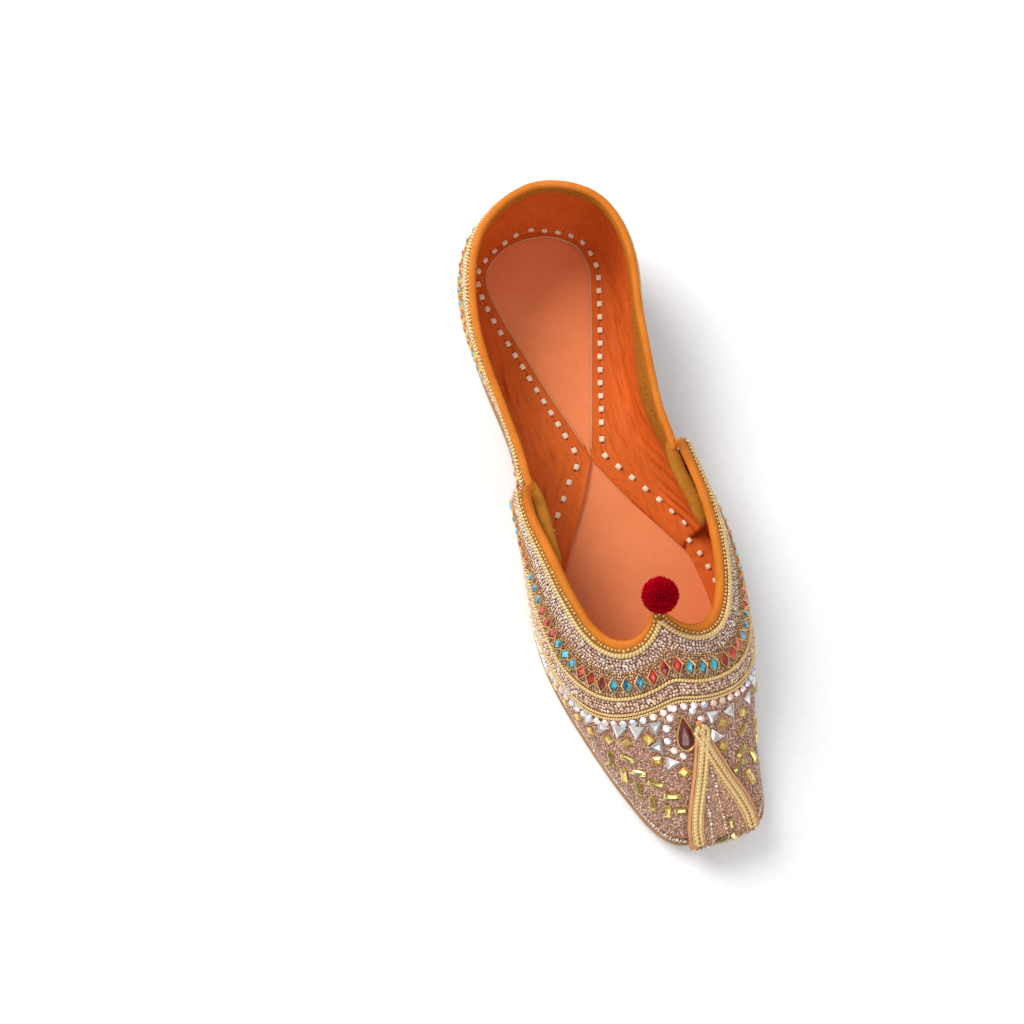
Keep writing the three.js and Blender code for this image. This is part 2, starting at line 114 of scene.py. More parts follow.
class Graph:
    """The node tree of one material."""

    def __init__(self, name: str) -> None:
        """Starts an empty material.

        Args:
            name: the finish's name.
        """
        self.material = bpy.data.materials.new(f"finish_{name}")
        self.material.use_nodes = True
        self.tree = self.material.node_tree
        self.tree.nodes.clear()

    def node(self, kind: str, settings: dict | None = None, inputs: dict | None = None) -> list[Sock]:
        """Adds a node.

        Args:
            kind: the node's type.
            settings: properties set before anything is linked. A ramp's are "interpolation" and "stops".
            inputs: values or sockets by input name or number.

        Returns:
            The node's output sockets.
        """
        made = self.tree.nodes.new(kind)
        for key, value in (settings or {}).items():
            if key == "stops":
                self.set_stops(made.color_ramp, value)
            else:
                setattr(made.color_ramp if key == "interpolation" else made, key, value)
        for key, value in (inputs or {}).items():
            target = made.inputs[key]
            if isinstance(value, Sock):
                self.tree.links.new(value.socket, target)
            else:
                target.default_value = value
        return [Sock(self, output) for output in made.outputs if output.enabled]

    @staticmethod
    def set_stops(ramp: bpy.types.ColorRamp, stops: Sequence[tuple[float, Colour]]) -> None:
        """Gives a ramp its stops.

        Args:
            ramp: the node's ramp, which starts with two.
            stops: position and colour of each.
        """
        while len(ramp.elements) < len(stops):
            ramp.elements.new(0.5)
        for element, (position, colour) in zip(ramp.elements, stops):
            element.position = position
            element.color = rgba(colour)

    def place(self) -> Sock:
        """Object coordinates, in metres."""
        return self.node("ShaderNodeTexCoord")[3]

    def noise(self, size_mm: float, detail: float = 3.0, rough: float = 0.55,
              drawn: tuple[float, float, float] | None = None) -> Sock:
        """Noise from 0 to 1.

        Args:
            size_mm: size of its blotches.
            detail: number of finer layers.
            rough: weight of the finer layers.
            drawn: scale along each axis, below 1 where the blotches are drawn out.

        Returns:
            The noise.
        """
        place = self.place()
        if drawn is not None:
            place = self.node("ShaderNodeVectorMath", {"operation": "MULTIPLY"}, {0: place, 1: drawn})[0]
        inputs = {"Vector": place, "Scale": 1 / (size_mm * MM), "Detail": detail, "Roughness": rough}
        return self.node("ShaderNodeTexNoise", {}, inputs)[0]

    def cells(self, size_mm: float, feature: str = "F1") -> list[Sock]:
        """Voronoi outputs, distance first, with cells of about size_mm."""
        inputs = {"Vector": self.place(), "Scale": 1 / (size_mm * MM)}
        return self.node("ShaderNodeTexVoronoi", {"feature": feature}, inputs)

    def island(self) -> Sock:
        """A number from 0 to 1 of each separate bead or stone in a piece."""
        return self.node("ShaderNodeNewGeometry")[-1]

    def steps(self, factor: Sock, colours: Sequence[Colour]) -> Sock:
        """One of several colours by the factor, with hard steps."""
        stops = [(i / len(colours), colour) for i, colour in enumerate(colours)]
        return self.node("ShaderNodeValToRGB", {"interpolation": "CONSTANT", "stops": stops}, {0: factor})[0]

    def blend(self, factor: "Sock | float", first: "Sock | Colour", second: "Sock | Colour") -> Sock:
        """Mix of two colours.

        Args:
            factor: share of the second colour.
            first: a colour, fixed or varying.
            second: the other colour.

        Returns:
            The mixed colour.
        """
        inputs: dict = {MIX_FACTOR: factor}
        for key, colour in ((MIX_FIRST, first), (MIX_SECOND, second)):
            inputs[key] = rgba(colour) if isinstance(colour, tuple) else colour
        return self.node("ShaderNodeMix", {"data_type": "RGBA"}, inputs)[0]

    def bump(self, height: Sock, depth_mm: float) -> Sock:
        """Bump normal of that depth."""
        inputs = {"Height": height, "Strength": 1.0, "Distance": depth_mm * MM}
        return self.node("ShaderNodeBump", {}, inputs)[0]

    def finish(self, inputs: dict) -> bpy.types.Material:
        """Closes the tree with one Principled shader.

        Args:
            inputs: values or sockets of the shader.

        Returns:
            The material.
        """
        shader = self.node("ShaderNodeBsdfPrincipled", {}, inputs)[0]
        self.node("ShaderNodeOutputMaterial", {}, {"Surface": shader})
        return self.material


# ---------------------------------------------------------------- finishes

@dataclass(frozen=True)
class Leather:
    """Tanned leather with pores, blotches and a soft gloss."""

    name: str
    colour: Colour
    dark: Colour
    roughness: float = 0.42
    pore_mm: float = 0.55
    depth_mm: float = 0.05
    coat: float = 0.06
    wrinkle_mm: float = 0.0

    def build(self) -> bpy.types.Material:
        """Makes the material.

        Returns:
            The material, ready to assign.
        """
        g = Graph(self.name)
        blotch = g.noise(14.0, 4.0)
        fine = g.noise(1.6, 4.0, 0.6)
        colour = g.blend(((blotch - 0.35) * 1.7).clamped(), self.dark, self.colour)
        tone_and_crease_shade = tuple(c * 0.45 for c in self.dark)
        colour = g.blend(fine * 0.2, colour, tone_and_crease_shade)
        height = g.cells(self.pore_mm)[0] * 0.6 + g.noise(3.2, 2.0) * 0.5
        if self.wrinkle_mm:
            drawn = g.noise(self.wrinkle_mm, 3.0, 0.6, (1.0, 0.09, 0.6))
            height = height + drawn * 4.0
            # Painted shade in the creases: the colour darkens towards the wrinkles' troughs, where drawn is
            # low.
            colour = g.blend(((0.48 - drawn) * 2.2).clamped(), colour, tone_and_crease_shade)
        return g.finish({
            "Base Color": colour,
            "Roughness": self.roughness + (fine - 0.5) * 0.25,
            "Specular IOR Level": 0.07,
            "Coat Weight": self.coat,
            "Coat Roughness": 0.35,
            "Normal": g.bump(height, self.depth_mm),
        })


@dataclass(frozen=True)
class Suede:
    """Napped split leather."""

    name: str
    colour: Colour
    dark: Colour

    def build(self) -> bpy.types.Material:
        """Makes the material.

        Returns:
            The material, ready to assign.
        """
        g = Graph(self.name)
        nap = g.noise(0.5, 5.0, 0.7)
        drift = g.noise(4.0, 3.0)
        colour = g.blend((nap * 0.6 + drift * 0.6 - 0.1).clamped(), self.dark, self.colour)
        return g.finish({
            "Base Color": colour,
            "Roughness": 0.85,
            "Specular IOR Level": 0.1,
            "Sheen Weight": 0.12,
            "Sheen Tint": rgba(self.colour),
            "Normal": g.bump(nap, 0.18),
        })


@dataclass(frozen=True)
class BeadGlass:
    """Seed beads and crystals: each bead takes its own colour from a short list, with pale painted glints
    over it.
    """

    name: str
    colours: tuple[Colour, ...]
    roughness: float = 0.18
    metallic: float = 0.15
    coat: float = 1.0

    def build(self) -> bpy.types.Material:
        """Makes the material.

        Returns:
            The material, ready to assign.
        """
        g = Graph(self.name)
        colour = g.steps(g.island(), self.colours)
        painted_glint_noise = g.noise(0.7, 2.0)
        # Painted highlight: pale near-white glints painted over the beads where the noise is high.
        colour = g.blend((painted_glint_noise * 0.9 - 0.3).clamped(), colour, (0.93, 0.85, 0.8))
        return g.finish({
            "Base Color": colour,
            "Roughness": self.roughness + painted_glint_noise * 0.15,
            "Metallic": self.metallic,
            "Coat Weight": self.coat,
            "Coat Roughness": 0.08,
        })


@dataclass(frozen=True)
class Stone:
    """Cut glass stones over foil, painted lighter and darker from facet to facet as painted reflections."""

    name: str
    bright: Colour
    deep: Colour

    def build(self) -> bpy.types.Material:
        """Makes the material.

        Returns:
            The material, ready to assign.
        """
        g = Graph(self.name)
        facets = g.cells(1.7)[1]
        split = g.node("ShaderNodeSeparateColor", {}, {"Color": facets})[0]
        painted_facet_light = (split * 1.3 - 0.15).clamped()
        # Painted reflection: each cell of the facet pattern is painted between the deep and the bright
        # colour.
        colour = g.blend(painted_facet_light, self.deep, self.bright)
        return g.finish({
            "Base Color": colour,
            "Roughness": 0.08,
            "Metallic": 0.35,
            "Coat Weight": 1.0,
            "Coat Roughness": 0.03,
            "Specular IOR Level": 0.8,
        })


@dataclass(frozen=True)
class Metal:
    """Gilt, silvered or coppered trim with small tarnish marks; in varied trim each piece is also painted
    lighter or darker, a painted reflection.
    """

    name: str
    colour: Colour
    dark: Colour
    roughness: float = 0.28
    metallic: float = 1.0
    varied: bool = False

    def build(self) -> bpy.types.Material:
        """Makes the material.

        Returns:
            The material, ready to assign.
        """
        g = Graph(self.name)
        spots = g.noise(2.0, 4.0, 0.6)
        # Varied trim: each piece is painted lighter or darker on its own, a painted reflection, with the
        # tarnish spots on top; other trim gets only the tarnish spots.
        amount = g.island() * 0.75 + spots * 0.4 - 0.1 if self.varied else (spots - 0.4) * 1.6
        colour = g.blend(amount.clamped(), self.colour, self.dark)
        return g.finish({
            "Base Color": colour,
            "Roughness": self.roughness + spots * 0.12,
            "Metallic": self.metallic,
            "Normal": g.bump(g.noise(0.8, 3.0), 0.02),
        })


@dataclass(frozen=True)
class Thread:
    """Cotton, wool or metallic thread whose fibres show as fine streaks."""

    name: str
    colour: Colour
    dark: Colour
    roughness: float = 0.6
    metallic: float = 0.0
    sheen: float = 0.1

    def build(self) -> bpy.types.Material:
        """Makes the material.

        Returns:
            The material, ready to assign.
        """
        g = Graph(self.name)
        fibre = g.noise(0.35, 4.0, 0.7)
        drift = g.noise(5.0, 2.0)
        colour = g.blend((fibre * 0.8 + drift * 0.4 - 0.1).clamped(), self.dark, self.colour)
        return g.finish({
            "Base Color": colour,
            "Roughness": self.roughness,
            "Metallic": self.metallic,
            "Specular IOR Level": 0.3,
            "Sheen Weight": self.sheen,
            "Normal": g.bump(fibre, 0.08),
        })


@dataclass(frozen=True)
class CoiledThreadCloth:
    """Ground covered with short coils of glitter thread: a dense sparkling grain."""

    name: str
    colour: Colour
    dark: Colour
    glint: Colour

    def build(self) -> bpy.types.Material:
        """Makes the material.

        Returns:
            The material, ready to assign.
        """
        g = Graph(self.name)
        distance, tint = g.cells(0.62)[:2]
        own = g.node("ShaderNodeSeparateColor", {}, {"Color": tint})
        drift = g.noise(6.0, 3.0)
        colour = g.blend((own[0] * 0.8 + drift * 0.5 - 0.2).clamped(), self.dark, self.colour)
        # Painted highlight: a few cells are painted in the pale glint colour and made glossier and more
        # metallic.
        sparkle = own[1].above(0.82)
        colour = g.blend(sparkle * 0.9, colour, self.glint)
        return g.finish({
            "Base Color": colour,
            "Roughness": 0.5 - sparkle * 0.3,
            "Metallic": 0.35 + sparkle * 0.5,
            "Normal": g.bump(1.0 - distance, 0.35),
        })


@dataclass(frozen=True)
class Wool:
    """Cut wool of a pompom."""

    name: str
    colour: Colour
    dark: Colour

    def build(self) -> bpy.types.Material:
        """Makes the material.

        Returns:
            The material, ready to assign.
        """
        g = Graph(self.name)
        strand = g.island()
        clump = g.noise(1.8, 3.0)
        colour = g.blend((strand * 0.5 + clump * 0.9 - 0.2).clamped(), self.dark, self.colour)
        return g.finish({
            "Base Color": colour,
            "Roughness": 0.95,
            "Specular IOR Level": 0.0,
            "Normal": g.bump(g.noise(0.5, 4.0, 0.7), 0.25),
        })


class Finish(Enum):
    """Every finish of the shoe."""

    SOLE = Leather("sole_leather", (0.56, 0.34, 0.19), (0.38, 0.2, 0.1), 0.6, 0.5, 0.08, 0.0)
    SOLE_EDGE = Leather("sole_edge_leather", (0.78, 0.42, 0.2), (0.56, 0.27, 0.12), 0.55, 0.4, 0.06, 0.0)
    LINING = Leather("lining_leather", (0.8, 0.17, 0.03), (0.66, 0.125, 0.018), 0.55, 0.45, 0.08, 0.01, 1.1)
    FOOTBED = Leather("footbed_leather", (0.93, 0.31, 0.125), (0.85, 0.26, 0.1), 0.5, 0.4, 0.02, 0.02)
    BINDING = Leather("binding_leather", (0.78, 0.25, 0.034), (0.6, 0.165, 0.016), 0.45, 0.5, 0.06, 0.04)
    CUT_EDGE = Leather("cut_edge_leather", (0.84, 0.44, 0.24), (0.66, 0.31, 0.15), 0.6, 0.4, 0.03, 0.0)
    FACING = Suede("facing_suede", (0.56, 0.22, 0.025), (0.26, 0.085, 0.008))
    GROUND = CoiledThreadCloth(
        "coiled_thread_cloth", (0.56, 0.27, 0.165), (0.3, 0.12, 0.065), (0.88, 0.62, 0.46))
    COILS = BeadGlass("thread_coils", (
        (0.52, 0.27, 0.17), (0.62, 0.35, 0.24), (0.34, 0.15, 0.08), (0.72, 0.50, 0.35),
        (0.44, 0.22, 0.13), (0.29, 0.12, 0.07), (0.57, 0.30, 0.18)), 0.38, 0.3, 0.2)
    STITCH = Thread("stitch_thread", (0.93, 0.84, 0.64), (0.74, 0.6, 0.4))
    # Near-black discs at the stitches' ends: painted shade inside the stitch holes.
    HOLE = Leather("stitch_hole_shade", (0.12, 0.03, 0.01), (0.06, 0.015, 0.006), 0.7, 0.4, 0.02, 0.0)
    GOLD_CORD = Thread("gold_cord", (0.92, 0.7, 0.36), (0.58, 0.36, 0.13), 0.34, 0.55, 0.0)
    # A dark sheet under the flap's braids: painted shade between their stitches.
    BRAID_SHADE = Thread("braid_shade", (0.26, 0.15, 0.05), (0.1, 0.05, 0.015))
    GOLD_BEADS = Metal("gold_beads", (0.84, 0.62, 0.3), (0.4, 0.22, 0.08), 0.22, 0.85, True)
    WHITE_BEADS = BeadGlass("white_beads", (
        (0.64, 0.44, 0.34), (0.77, 0.69, 0.62), (0.47, 0.27, 0.18), (0.59, 0.37, 0.24),
        (0.50, 0.35, 0.35), (0.84, 0.7, 0.52), (0.46, 0.24, 0.11), (0.64, 0.4, 0.22)), 0.16, 0.3)
    PINK_BEADS = BeadGlass("pink_beads", (
        (0.67, 0.37, 0.23), (0.74, 0.48, 0.33), (0.47, 0.22, 0.13), (0.84, 0.67, 0.52),
        (0.56, 0.32, 0.22), (0.39, 0.18, 0.09), (0.73, 0.50, 0.22)), 0.2, 0.35)
    BRONZE_BEADS = BeadGlass("bronze_beads", (
        (0.42, 0.21, 0.1), (0.6, 0.34, 0.18), (0.27, 0.11, 0.05), (0.55, 0.3, 0.2),
        (0.66, 0.44, 0.2)), 0.3, 0.35)
    CRYSTALS = BeadGlass("crystals", (
        (0.86, 0.8, 0.84), (0.6, 0.6, 0.82), (0.95, 0.66, 0.55), (0.7, 0.8, 0.84), (0.93, 0.66, 0.58),
        (0.95, 0.9, 0.88), (0.9, 0.76, 0.72)), 0.05, 0.4)
    RED_STONE = Stone("red_stones", (0.72, 0.015, 0.015), (0.11, 0.003, 0.004))
    BLUE_STONE = Stone("blue_stones", (0.03, 0.5, 0.68), (0.004, 0.09, 0.17))
    MAROON_STONE = Stone("maroon_stone", (0.2, 0.012, 0.006), (0.05, 0.003, 0.002))
    GILT = Metal("gilt_trim", (0.9, 0.7, 0.24), (0.56, 0.38, 0.08), 0.2)
    OLIVE_GILT = Metal("olive_gilt_trim", (0.86, 0.68, 0.28), (0.18, 0.15, 0.06), 0.12, 1.0, True)
    COLLET = Metal("stone_collets", (0.78, 0.5, 0.2), (0.4, 0.2, 0.06), 0.3, 0.9)
    SILVER = Metal("silver_trim", (0.86, 0.84, 0.82), (0.5, 0.48, 0.48), 0.16)
    MIRROR = Metal("mirror_trim", (0.94, 0.9, 0.85), (0.56, 0.52, 0.5), 0.16, 0.75, True)
    POMPOM = Wool("pompom_wool", (0.66, 0.002, 0.018), (0.24, 0.0, 0.004))

    @property
    def material(self) -> bpy.types.Material:
        """The finish's material, made on first use."""
        return bpy.data.materials.get(f"finish_{self.value.name}") or self.value.build()


class Slot(Enum):
    """The record's material slots."""

    SOLE = "sole_leather"
    LINING = "lining_leather"
    CLOTH = "beaded_cloth"
    BINDING = "binding_leather"
    POMPOM = "pompom_wool"
    GOLD = "gold_thread"
    BEADS = "seed_beads"
    STONES = "stones"
    MIRROR = "mirror_trim"
    GILT = "gilt_trim"
    STITCH = "stitch_thread"


# ---------------------------------------------------------------- mesh forms

@dataclass
class Form:
    """Points with four- and three-sided faces."""

    points: Array
    quads: Array = field(default_factory=lambda: np.zeros((0, 4), int))
    tris: Array = field(default_factory=lambda: np.zeros((0, 3), int))

    @staticmethod
    def joined(forms: "Sequence[Form]") -> "Form":
        """Several forms as one.

        Args:
            forms: the forms, which keep their order.

        Returns:
            One form that holds all of them.
        """
        bases = np.cumsum([0] + [len(form.points) for form in forms[:-1]])
        return Form(np.concatenate([form.points for form in forms]),
                    np.concatenate([form.quads + base for form, base in zip(forms, bases)]),
                    np.concatenate([form.tris + base for form, base in zip(forms, bases)]))


@dataclass
class Piece:
    """One finished object: what it is called, made of and stands for."""

    name: str
    finish: Finish
    slot: Slot
    smooth: bool = True
    stands_for: tuple[str, ...] = ()
    weld: bool = False

    def make(self, *forms: Form) -> None:
        """Makes the object from its forms, dresses it and lets it ride on the shoe.

        Args:
            forms: points in millimetres and faces.
        """
        form = Form.joined(forms)
        mesh = bpy.data.meshes.new(self.name)
        mesh.vertices.add(len(form.points))
        mesh.vertices.foreach_set("co", (form.points * MM).ravel())
        loops = np.concatenate([form.quads.ravel(), form.tris.ravel()]).astype(np.int32)
        starts = np.concatenate([
            np.arange(len(form.quads)) * 4, len(form.quads) * 4 + np.arange(len(form.tris)) * 3,
        ]).astype(np.int32)
        mesh.loops.add(len(loops))
        mesh.loops.foreach_set("vertex_index", loops)
        mesh.polygons.add(len(starts))
        mesh.polygons.foreach_set("loop_start", starts)
        mesh.polygons.foreach_set("use_smooth", np.full(len(starts), self.smooth))
        mesh.update(calc_edges=True)
        mesh.validate()
        if self.weld:
            self.close_up(mesh)
        mesh.materials.append(self.finish.material)
        piece = bpy.data.objects.new(self.name, mesh)
        bpy.context.collection.objects.link(piece)
        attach(piece, ROOT)
        if self.stands_for:
            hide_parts(*self.stands_for)
        LOG.info("%s: %d faces", self.name, len(starts))

    @staticmethod
    def close_up(mesh: bpy.types.Mesh) -> None:
        """Merges points that coincide, so that rings shrunk to a line leave no empty faces.

        Args:
            mesh: the mesh, in metres.
        """
        body = bmesh.new()
        body.from_mesh(mesh)
        bmesh.ops.remove_doubles(body, verts=body.verts, dist=0.00002)
        bmesh.ops.dissolve_degenerate(body, edges=body.edges, dist=0.00001)
        body.to_mesh(mesh)
        body.free()


def ring_faces(sides: int, rows: int) -> Array:
    """Quads between closed rings.

    Args:
        sides: number of points of a ring.
        rows: number of rings.

    Returns:
        The quads' corners (n, 4).
    """
    j = np.arange(sides)
    k = (j + 1) % sides
    base = (np.arange(rows - 1) * sides)[:, None]
    return np.stack([base + j, base + k, base + sides + k, base + sides + j], 2).reshape(-1, 4)


def stacked(rings: Sequence[Array] | Array, low: Array, high: Array) -> Form:
    """A closed form of rings on each other with a point at both ends.

    Args:
        rings: rings (k, 3) from the low end to the high one, anticlockwise from above.
        low: the point below the first ring.
        high: the point above the last ring.

    Returns:
        The closed form.
    """
    sides = len(rings[0])
    end = len(rings) * sides
    around = np.arange(sides)
    ahead = (around + 1) % sides
    caps = np.concatenate([
        np.stack([ahead, around, np.full(sides, end)], 1),
        np.stack([end - sides + around, end - sides + ahead, np.full(sides, end + 1)], 1)])
    return Form(np.concatenate([*rings, [low], [high]]), ring_faces(sides, len(rings)), caps)


def ball(segments: int = 6, rings: int = 4) -> Form:
    """A small ball of radius 1, its axis along the third direction.

    Args:
        segments: number of sides round the axis.
        rings: number of steps from pole to pole.

    Returns:
        The ball.
    """
    turns = 2 * np.pi * np.arange(segments) / segments
    rows = [np.column_stack([headings(turns) * np.sin(p), np.full(segments, np.cos(p))])
            for p in np.pi * np.arange(1, rings) / rings]
    points = np.concatenate([[[0, 0, 1.0]], *rows, [[0, 0, -1.0]]])
    around = np.arange(segments)
    ahead = (around + 1) % segments
    base = 1 + np.arange(rings - 2)[:, None] * segments
    quads = np.stack([base + around, base + segments + around, base + segments + ahead, base + ahead], 2)
    low = 1 + (rings - 2) * segments
    top = np.stack([np.zeros(segments, int), 1 + around, 1 + ahead], 1)
    bottom = np.stack([np.full(segments, len(points) - 1), low + ahead, low + around], 1)
    return Form(points, quads.reshape(-1, 4), np.concatenate([top, bottom]))


def headings(turns: Array) -> Array:
    """Unit directions (n, 2) of turns from the first direction."""
    return np.stack([np.cos(turns), np.sin(turns)], 1)


def levelled(outline: Array, levels: Sequence[tuple[float, float]]) -> list[Array]:
    """Rings over a flat outline: each level is a size and a height."""
    return [np.column_stack([outline * size, np.full(len(outline), z)]) for size, z in levels]


def cut_stone(outline: Array, height: float, table: float = 0.55, girdle: float = 0.4) -> Form:
    """A faceted stone over a flat outline.

    Args:
        outline: corners (k, 2), anticlockwise.
        height: height of the table.
        table: size of the table as a share of the outline.
        girdle: share of the height at which the crown starts.

    Returns:
        The closed stone.
    """
    rings = levelled(outline, ((1.0, 0.0), (1.0, girdle * height), (table, height)))
    return stacked(rings, np.zeros(3), np.array([*(outline.mean(0) * table), height * 1.04]))


def collet(outline: Array, width: float, height: float) -> Form:
    """A metal rim round an outline, square in section with a slanted lip.

    Args:
        outline: corners (k, 2) of the stone it holds.
        width: width of the metal.
        height: height of the lip.

    Returns:
        The rim.
    """
    k = len(outline)
    middle = outline.mean(0)
    away = outline - middle
    far = away / np.linalg.norm(away, axis=1)[:, None]
    wide = outline + far * width
    lip = wide - far * width * 0.25
    rings = ((wide, 0.0), (lip, height), (outline, height * 0.9), (outline * 0.96, 0.0))
    points = np.concatenate([np.column_stack([ring, np.full(k, z)]) for ring, z in rings])
    around = np.arange(k)
    ahead = (around + 1) % k
    closing = np.stack([3 * k + around, 3 * k + ahead, ahead, around], 1)
    return Form(points, np.concatenate([ring_faces(k, 4), closing]))


def regular(corners: int, radius: float, turn: float = 0.0) -> Array:
    """Corners of a regular outline."""
    return headings(2 * np.pi * np.arange(corners) / corners + turn) * radius


def swarm(form: Form, centres: Array, frames: Array, scales: Array | float = 1.0) -> Form:
    """Copies of a form set on a surface.

    Args:
        form: the form that is copied.
        centres: where each copy goes (n, 3).
        frames: rows along, across and up of each copy (n, 3, 3).
        scales: one size for all, or (n, 3).

    Returns:
        All copies as one form.
    """
    count = len(centres)
    sizes = np.broadcast_to(np.asarray(scales, float), (count, 3))
    local = form.points[None] * sizes[:, None, :]
    points = np.einsum("nvi,nij->nvj", local, frames) + centres[:, None, :]
    base = (np.arange(count) * len(form.points))[:, None, None]
    return Form(points.reshape(-1, 3), (form.quads[None] + base).reshape(-1, 4),
                (form.tris[None] + base).reshape(-1, 3))


def wall(outer: Array, inner: Array) -> Form:
    """Closed solid between two grids.

    Args:
        outer: points of one face (rows, columns, 3).
        inner: points of the other, in the same order.

    Returns:
        The solid.
    """
    rows, columns = outer.shape[:2]
    index = np.arange(rows * columns).reshape(rows, columns)
    skin = np.stack([index[:-1, :-1], index[1:, :-1], index[1:, 1:], index[:-1, 1:]], 2).reshape(-1, 4)
    shift = rows * columns
    rim = np.concatenate([index[:-1, 0], index[-1, :-1], index[:0:-1, -1], index[0, :0:-1]])
    ahead = np.roll(rim, -1)
    edge = np.stack([rim, rim + shift, ahead + shift, ahead], 1)
    quads = np.concatenate([skin, skin[:, ::-1] + shift, edge])
    form = Form(np.concatenate([outer.reshape(-1, 3), inner.reshape(-1, 3)]), quads)
    return facing_out(form)


def facing_out(form: Form) -> Form:
    """The form with its faces turned outwards.

    Args:
        form: a closed form.

    Returns:
        The same form, or one with every face turned over.
    """
    corners = form.points[form.quads]
    volume = np.einsum("ij,ij->i", corners[:, 0], np.cross(corners[:, 1], corners[:, 2])).sum()
    volume += np.einsum("ij,ij->i", corners[:, 0], np.cross(corners[:, 2], corners[:, 3])).sum()
    if volume < 0:
        return Form(form.points, form.quads[:, ::-1], form.tris[:, ::-1])
    return form


def unit(vectors: Array) -> Array:
    """Vectors brought to length 1."""
    return vectors / np.maximum(np.linalg.norm(vectors, axis=-1, keepdims=True), 1e-9)


def sweep(path: Array, across: Array, away: Array, section: Callable[[Array], Array]) -> Form:
    """Closed tube along a path.

    Args:
        path: points (n, 3).
        across: first direction of the section at each point.
        away: second direction of the section at each point.
        section: from the length walked (n,) to offsets (n, sides, 2).

    Returns:
        The tube with capped ends.
    """
    offsets = section(walked_length(path))
    rings = path[:, None] + offsets[..., :1] * across[:, None] + offsets[..., 1:] * away[:, None]
    return facing_out(stacked(rings, rings[0].mean(0), rings[-1].mean(0)))


def level_with(vectors: Array, normals: Array) -> Array:
    """Unit vectors without the part that runs along the normals."""
    return unit(vectors - normals * np.einsum("ij,ij->i", vectors, normals)[:, None])


def grid_normals(grid: Array) -> Array:
    """Unit normals of a grid of points (rows, columns, 3)."""
    return unit(np.cross(np.gradient(grid, axis=0), np.gradient(grid, axis=1)))


def frames_of(along: Array, up: Array) -> Array:
    """Frames (n, 3, 3) with rows along, across and up; along is first made square to up."""
    along = level_with(along, up)
    return np.stack([along, np.cross(up, along), up], 1)


def walked_length(points: Array) -> Array:
    """Length walked up to each point of a path."""
    return np.concatenate([[0], np.cumsum(np.linalg.norm(np.diff(points, axis=0), axis=1))])


def at_marks(path: Array, walked: Array, marks: Array) -> Array:
    """Points of a path where the length walked reaches the marks."""
    return np.stack([np.interp(marks, walked, column) for column in path.T], 1)


def spaced(path: Array, pitch: float, start: float = 0.5) -> tuple[Array, Array]:
    """Even steps along a flat or solid path.

    Args:
        path: points (n, d).
        pitch: distance from step to step.
        start: where the first step lies, as a share of the pitch.

    Returns:
        The stepped points and their unit directions.
    """
    walked = walked_length(path)
    count = max(2, int(walked[-1] / pitch))
    marks = (np.arange(count) + start) * walked[-1] / count
    reach = pitch * 0.2
    return at_marks(path, walked, marks), unit(
        at_marks(path, walked, marks + reach) - at_marks(path, walked, marks - reach))


# ---------------------------------------------------------------- the last

class Row(NamedTuple):
    """One section of the sole: half width and how far its middle lies towards +X."""

    station: float
    half: float
    middle: float


class Section(NamedTuple):
    """One section of the vamp."""

    station: float
    crown: float
    shoulder: float
    belly: float
    lift: float


class ThroatRow(NamedTuple):
    """One corner of a lobe of the throat, and how far both lean to +X and the left one drops forward."""

    station: float
    half: float
    lean: float
    drop: float


class Wall(NamedTuple):
    """One section of the counter."""

    station: float
    height: float
    flare: float
    belly: float


SOLE_LENGTH = 256.0
SOLE_ROWS = tuple(Row(*row) for row in (
    (0, 0, 2.4), (1.6, 9, 2.4), (6, 18, 2.4), (13, 25.5, 2.1), (24, 30.4, 1.4), (40, 31.8, 0.4),
    (62, 29.8, -0.9), (90, 27.4, -1.3), (115, 30, -1), (140, 36.5, -0.6), (158, 39.6, -0.6),
    (174, 40, -0.6), (190, 38, -0.2), (207, 33.8, 0), (222, 29.6, 0.4), (235, 26, 1.6),
    (244, 23.2, 2.6), (250, 20.4, 3.6), (254, 16.5, 4.8), (255.6, 9, 5.2), (SOLE_LENGTH, 0, 5.2),
))
# Station and rise of the underside.
BOTTOM = ((0, 0), (62, 0), (95, 2.2), (128, 0), (204, 0), (228, 1), (244, 2.4), (SOLE_LENGTH, 4))
# Station and sideways lean of the upper.
SWAY = ((0, 1.8), (30, 1.4), (60, 0), (110, 0.2), (150, 2), (185, 2), (215, 0.4), (SOLE_LENGTH, 0))
VAMP_ROWS = tuple(Section(*row) for row in (
    (108, 66, 1.2, 17.5, 0.42), (125, 62, 1.1, 13.5, 0.42), (145, 57, 0.96, 9, 0.42),
    (160, 52.5, 0.86, 8.5, 0.42), (171, 48.6, 0.76, 8.5, 0.42), (182, 44.8, 0.72, 8, 0.42),
    (198, 38.4, 0.7, 6.5, 0.44), (215, 31, 0.68, 5, 0.46), (230, 24.4, 0.68, 3.6, 0.5),
    (242, 19.2, 0.68, 2.4, 0.52), (249, 15.6, 0.68, 1.4, 0.54), (253, 12.4, 0.66, 0.8, 0.55),
    (SOLE_LENGTH, 7.3, 0.66, 0, 0.55),
))
THROAT = tuple(ThroatRow(*row) for row in (
    (111.4, 30.8, -0.4, 0), (115, 32.3, -0.4, 0), (124, 33.1, -0.3, 0), (133, 32.7, -0.2, 0),
    (143, 31.8, -0.1, 0), (153, 30.4, 0, 0.3), (162, 28.4, 0.2, 0.8), (169.4, 26, 0.3, 1.2),
    (175.6, 22.4, 0.3, 1.4), (179.4, 17.9, 0.2, 1.4), (180.4, 12.8, 0, 1.3), (178.8, 8, -0.4, 1),
    (175.4, 4, -0.8, 0.5), (171.8, 1.5, -1.1, 0.2), (171.2, 0, -1.2, 0),
))
COUNTER_FRONT = 142.0
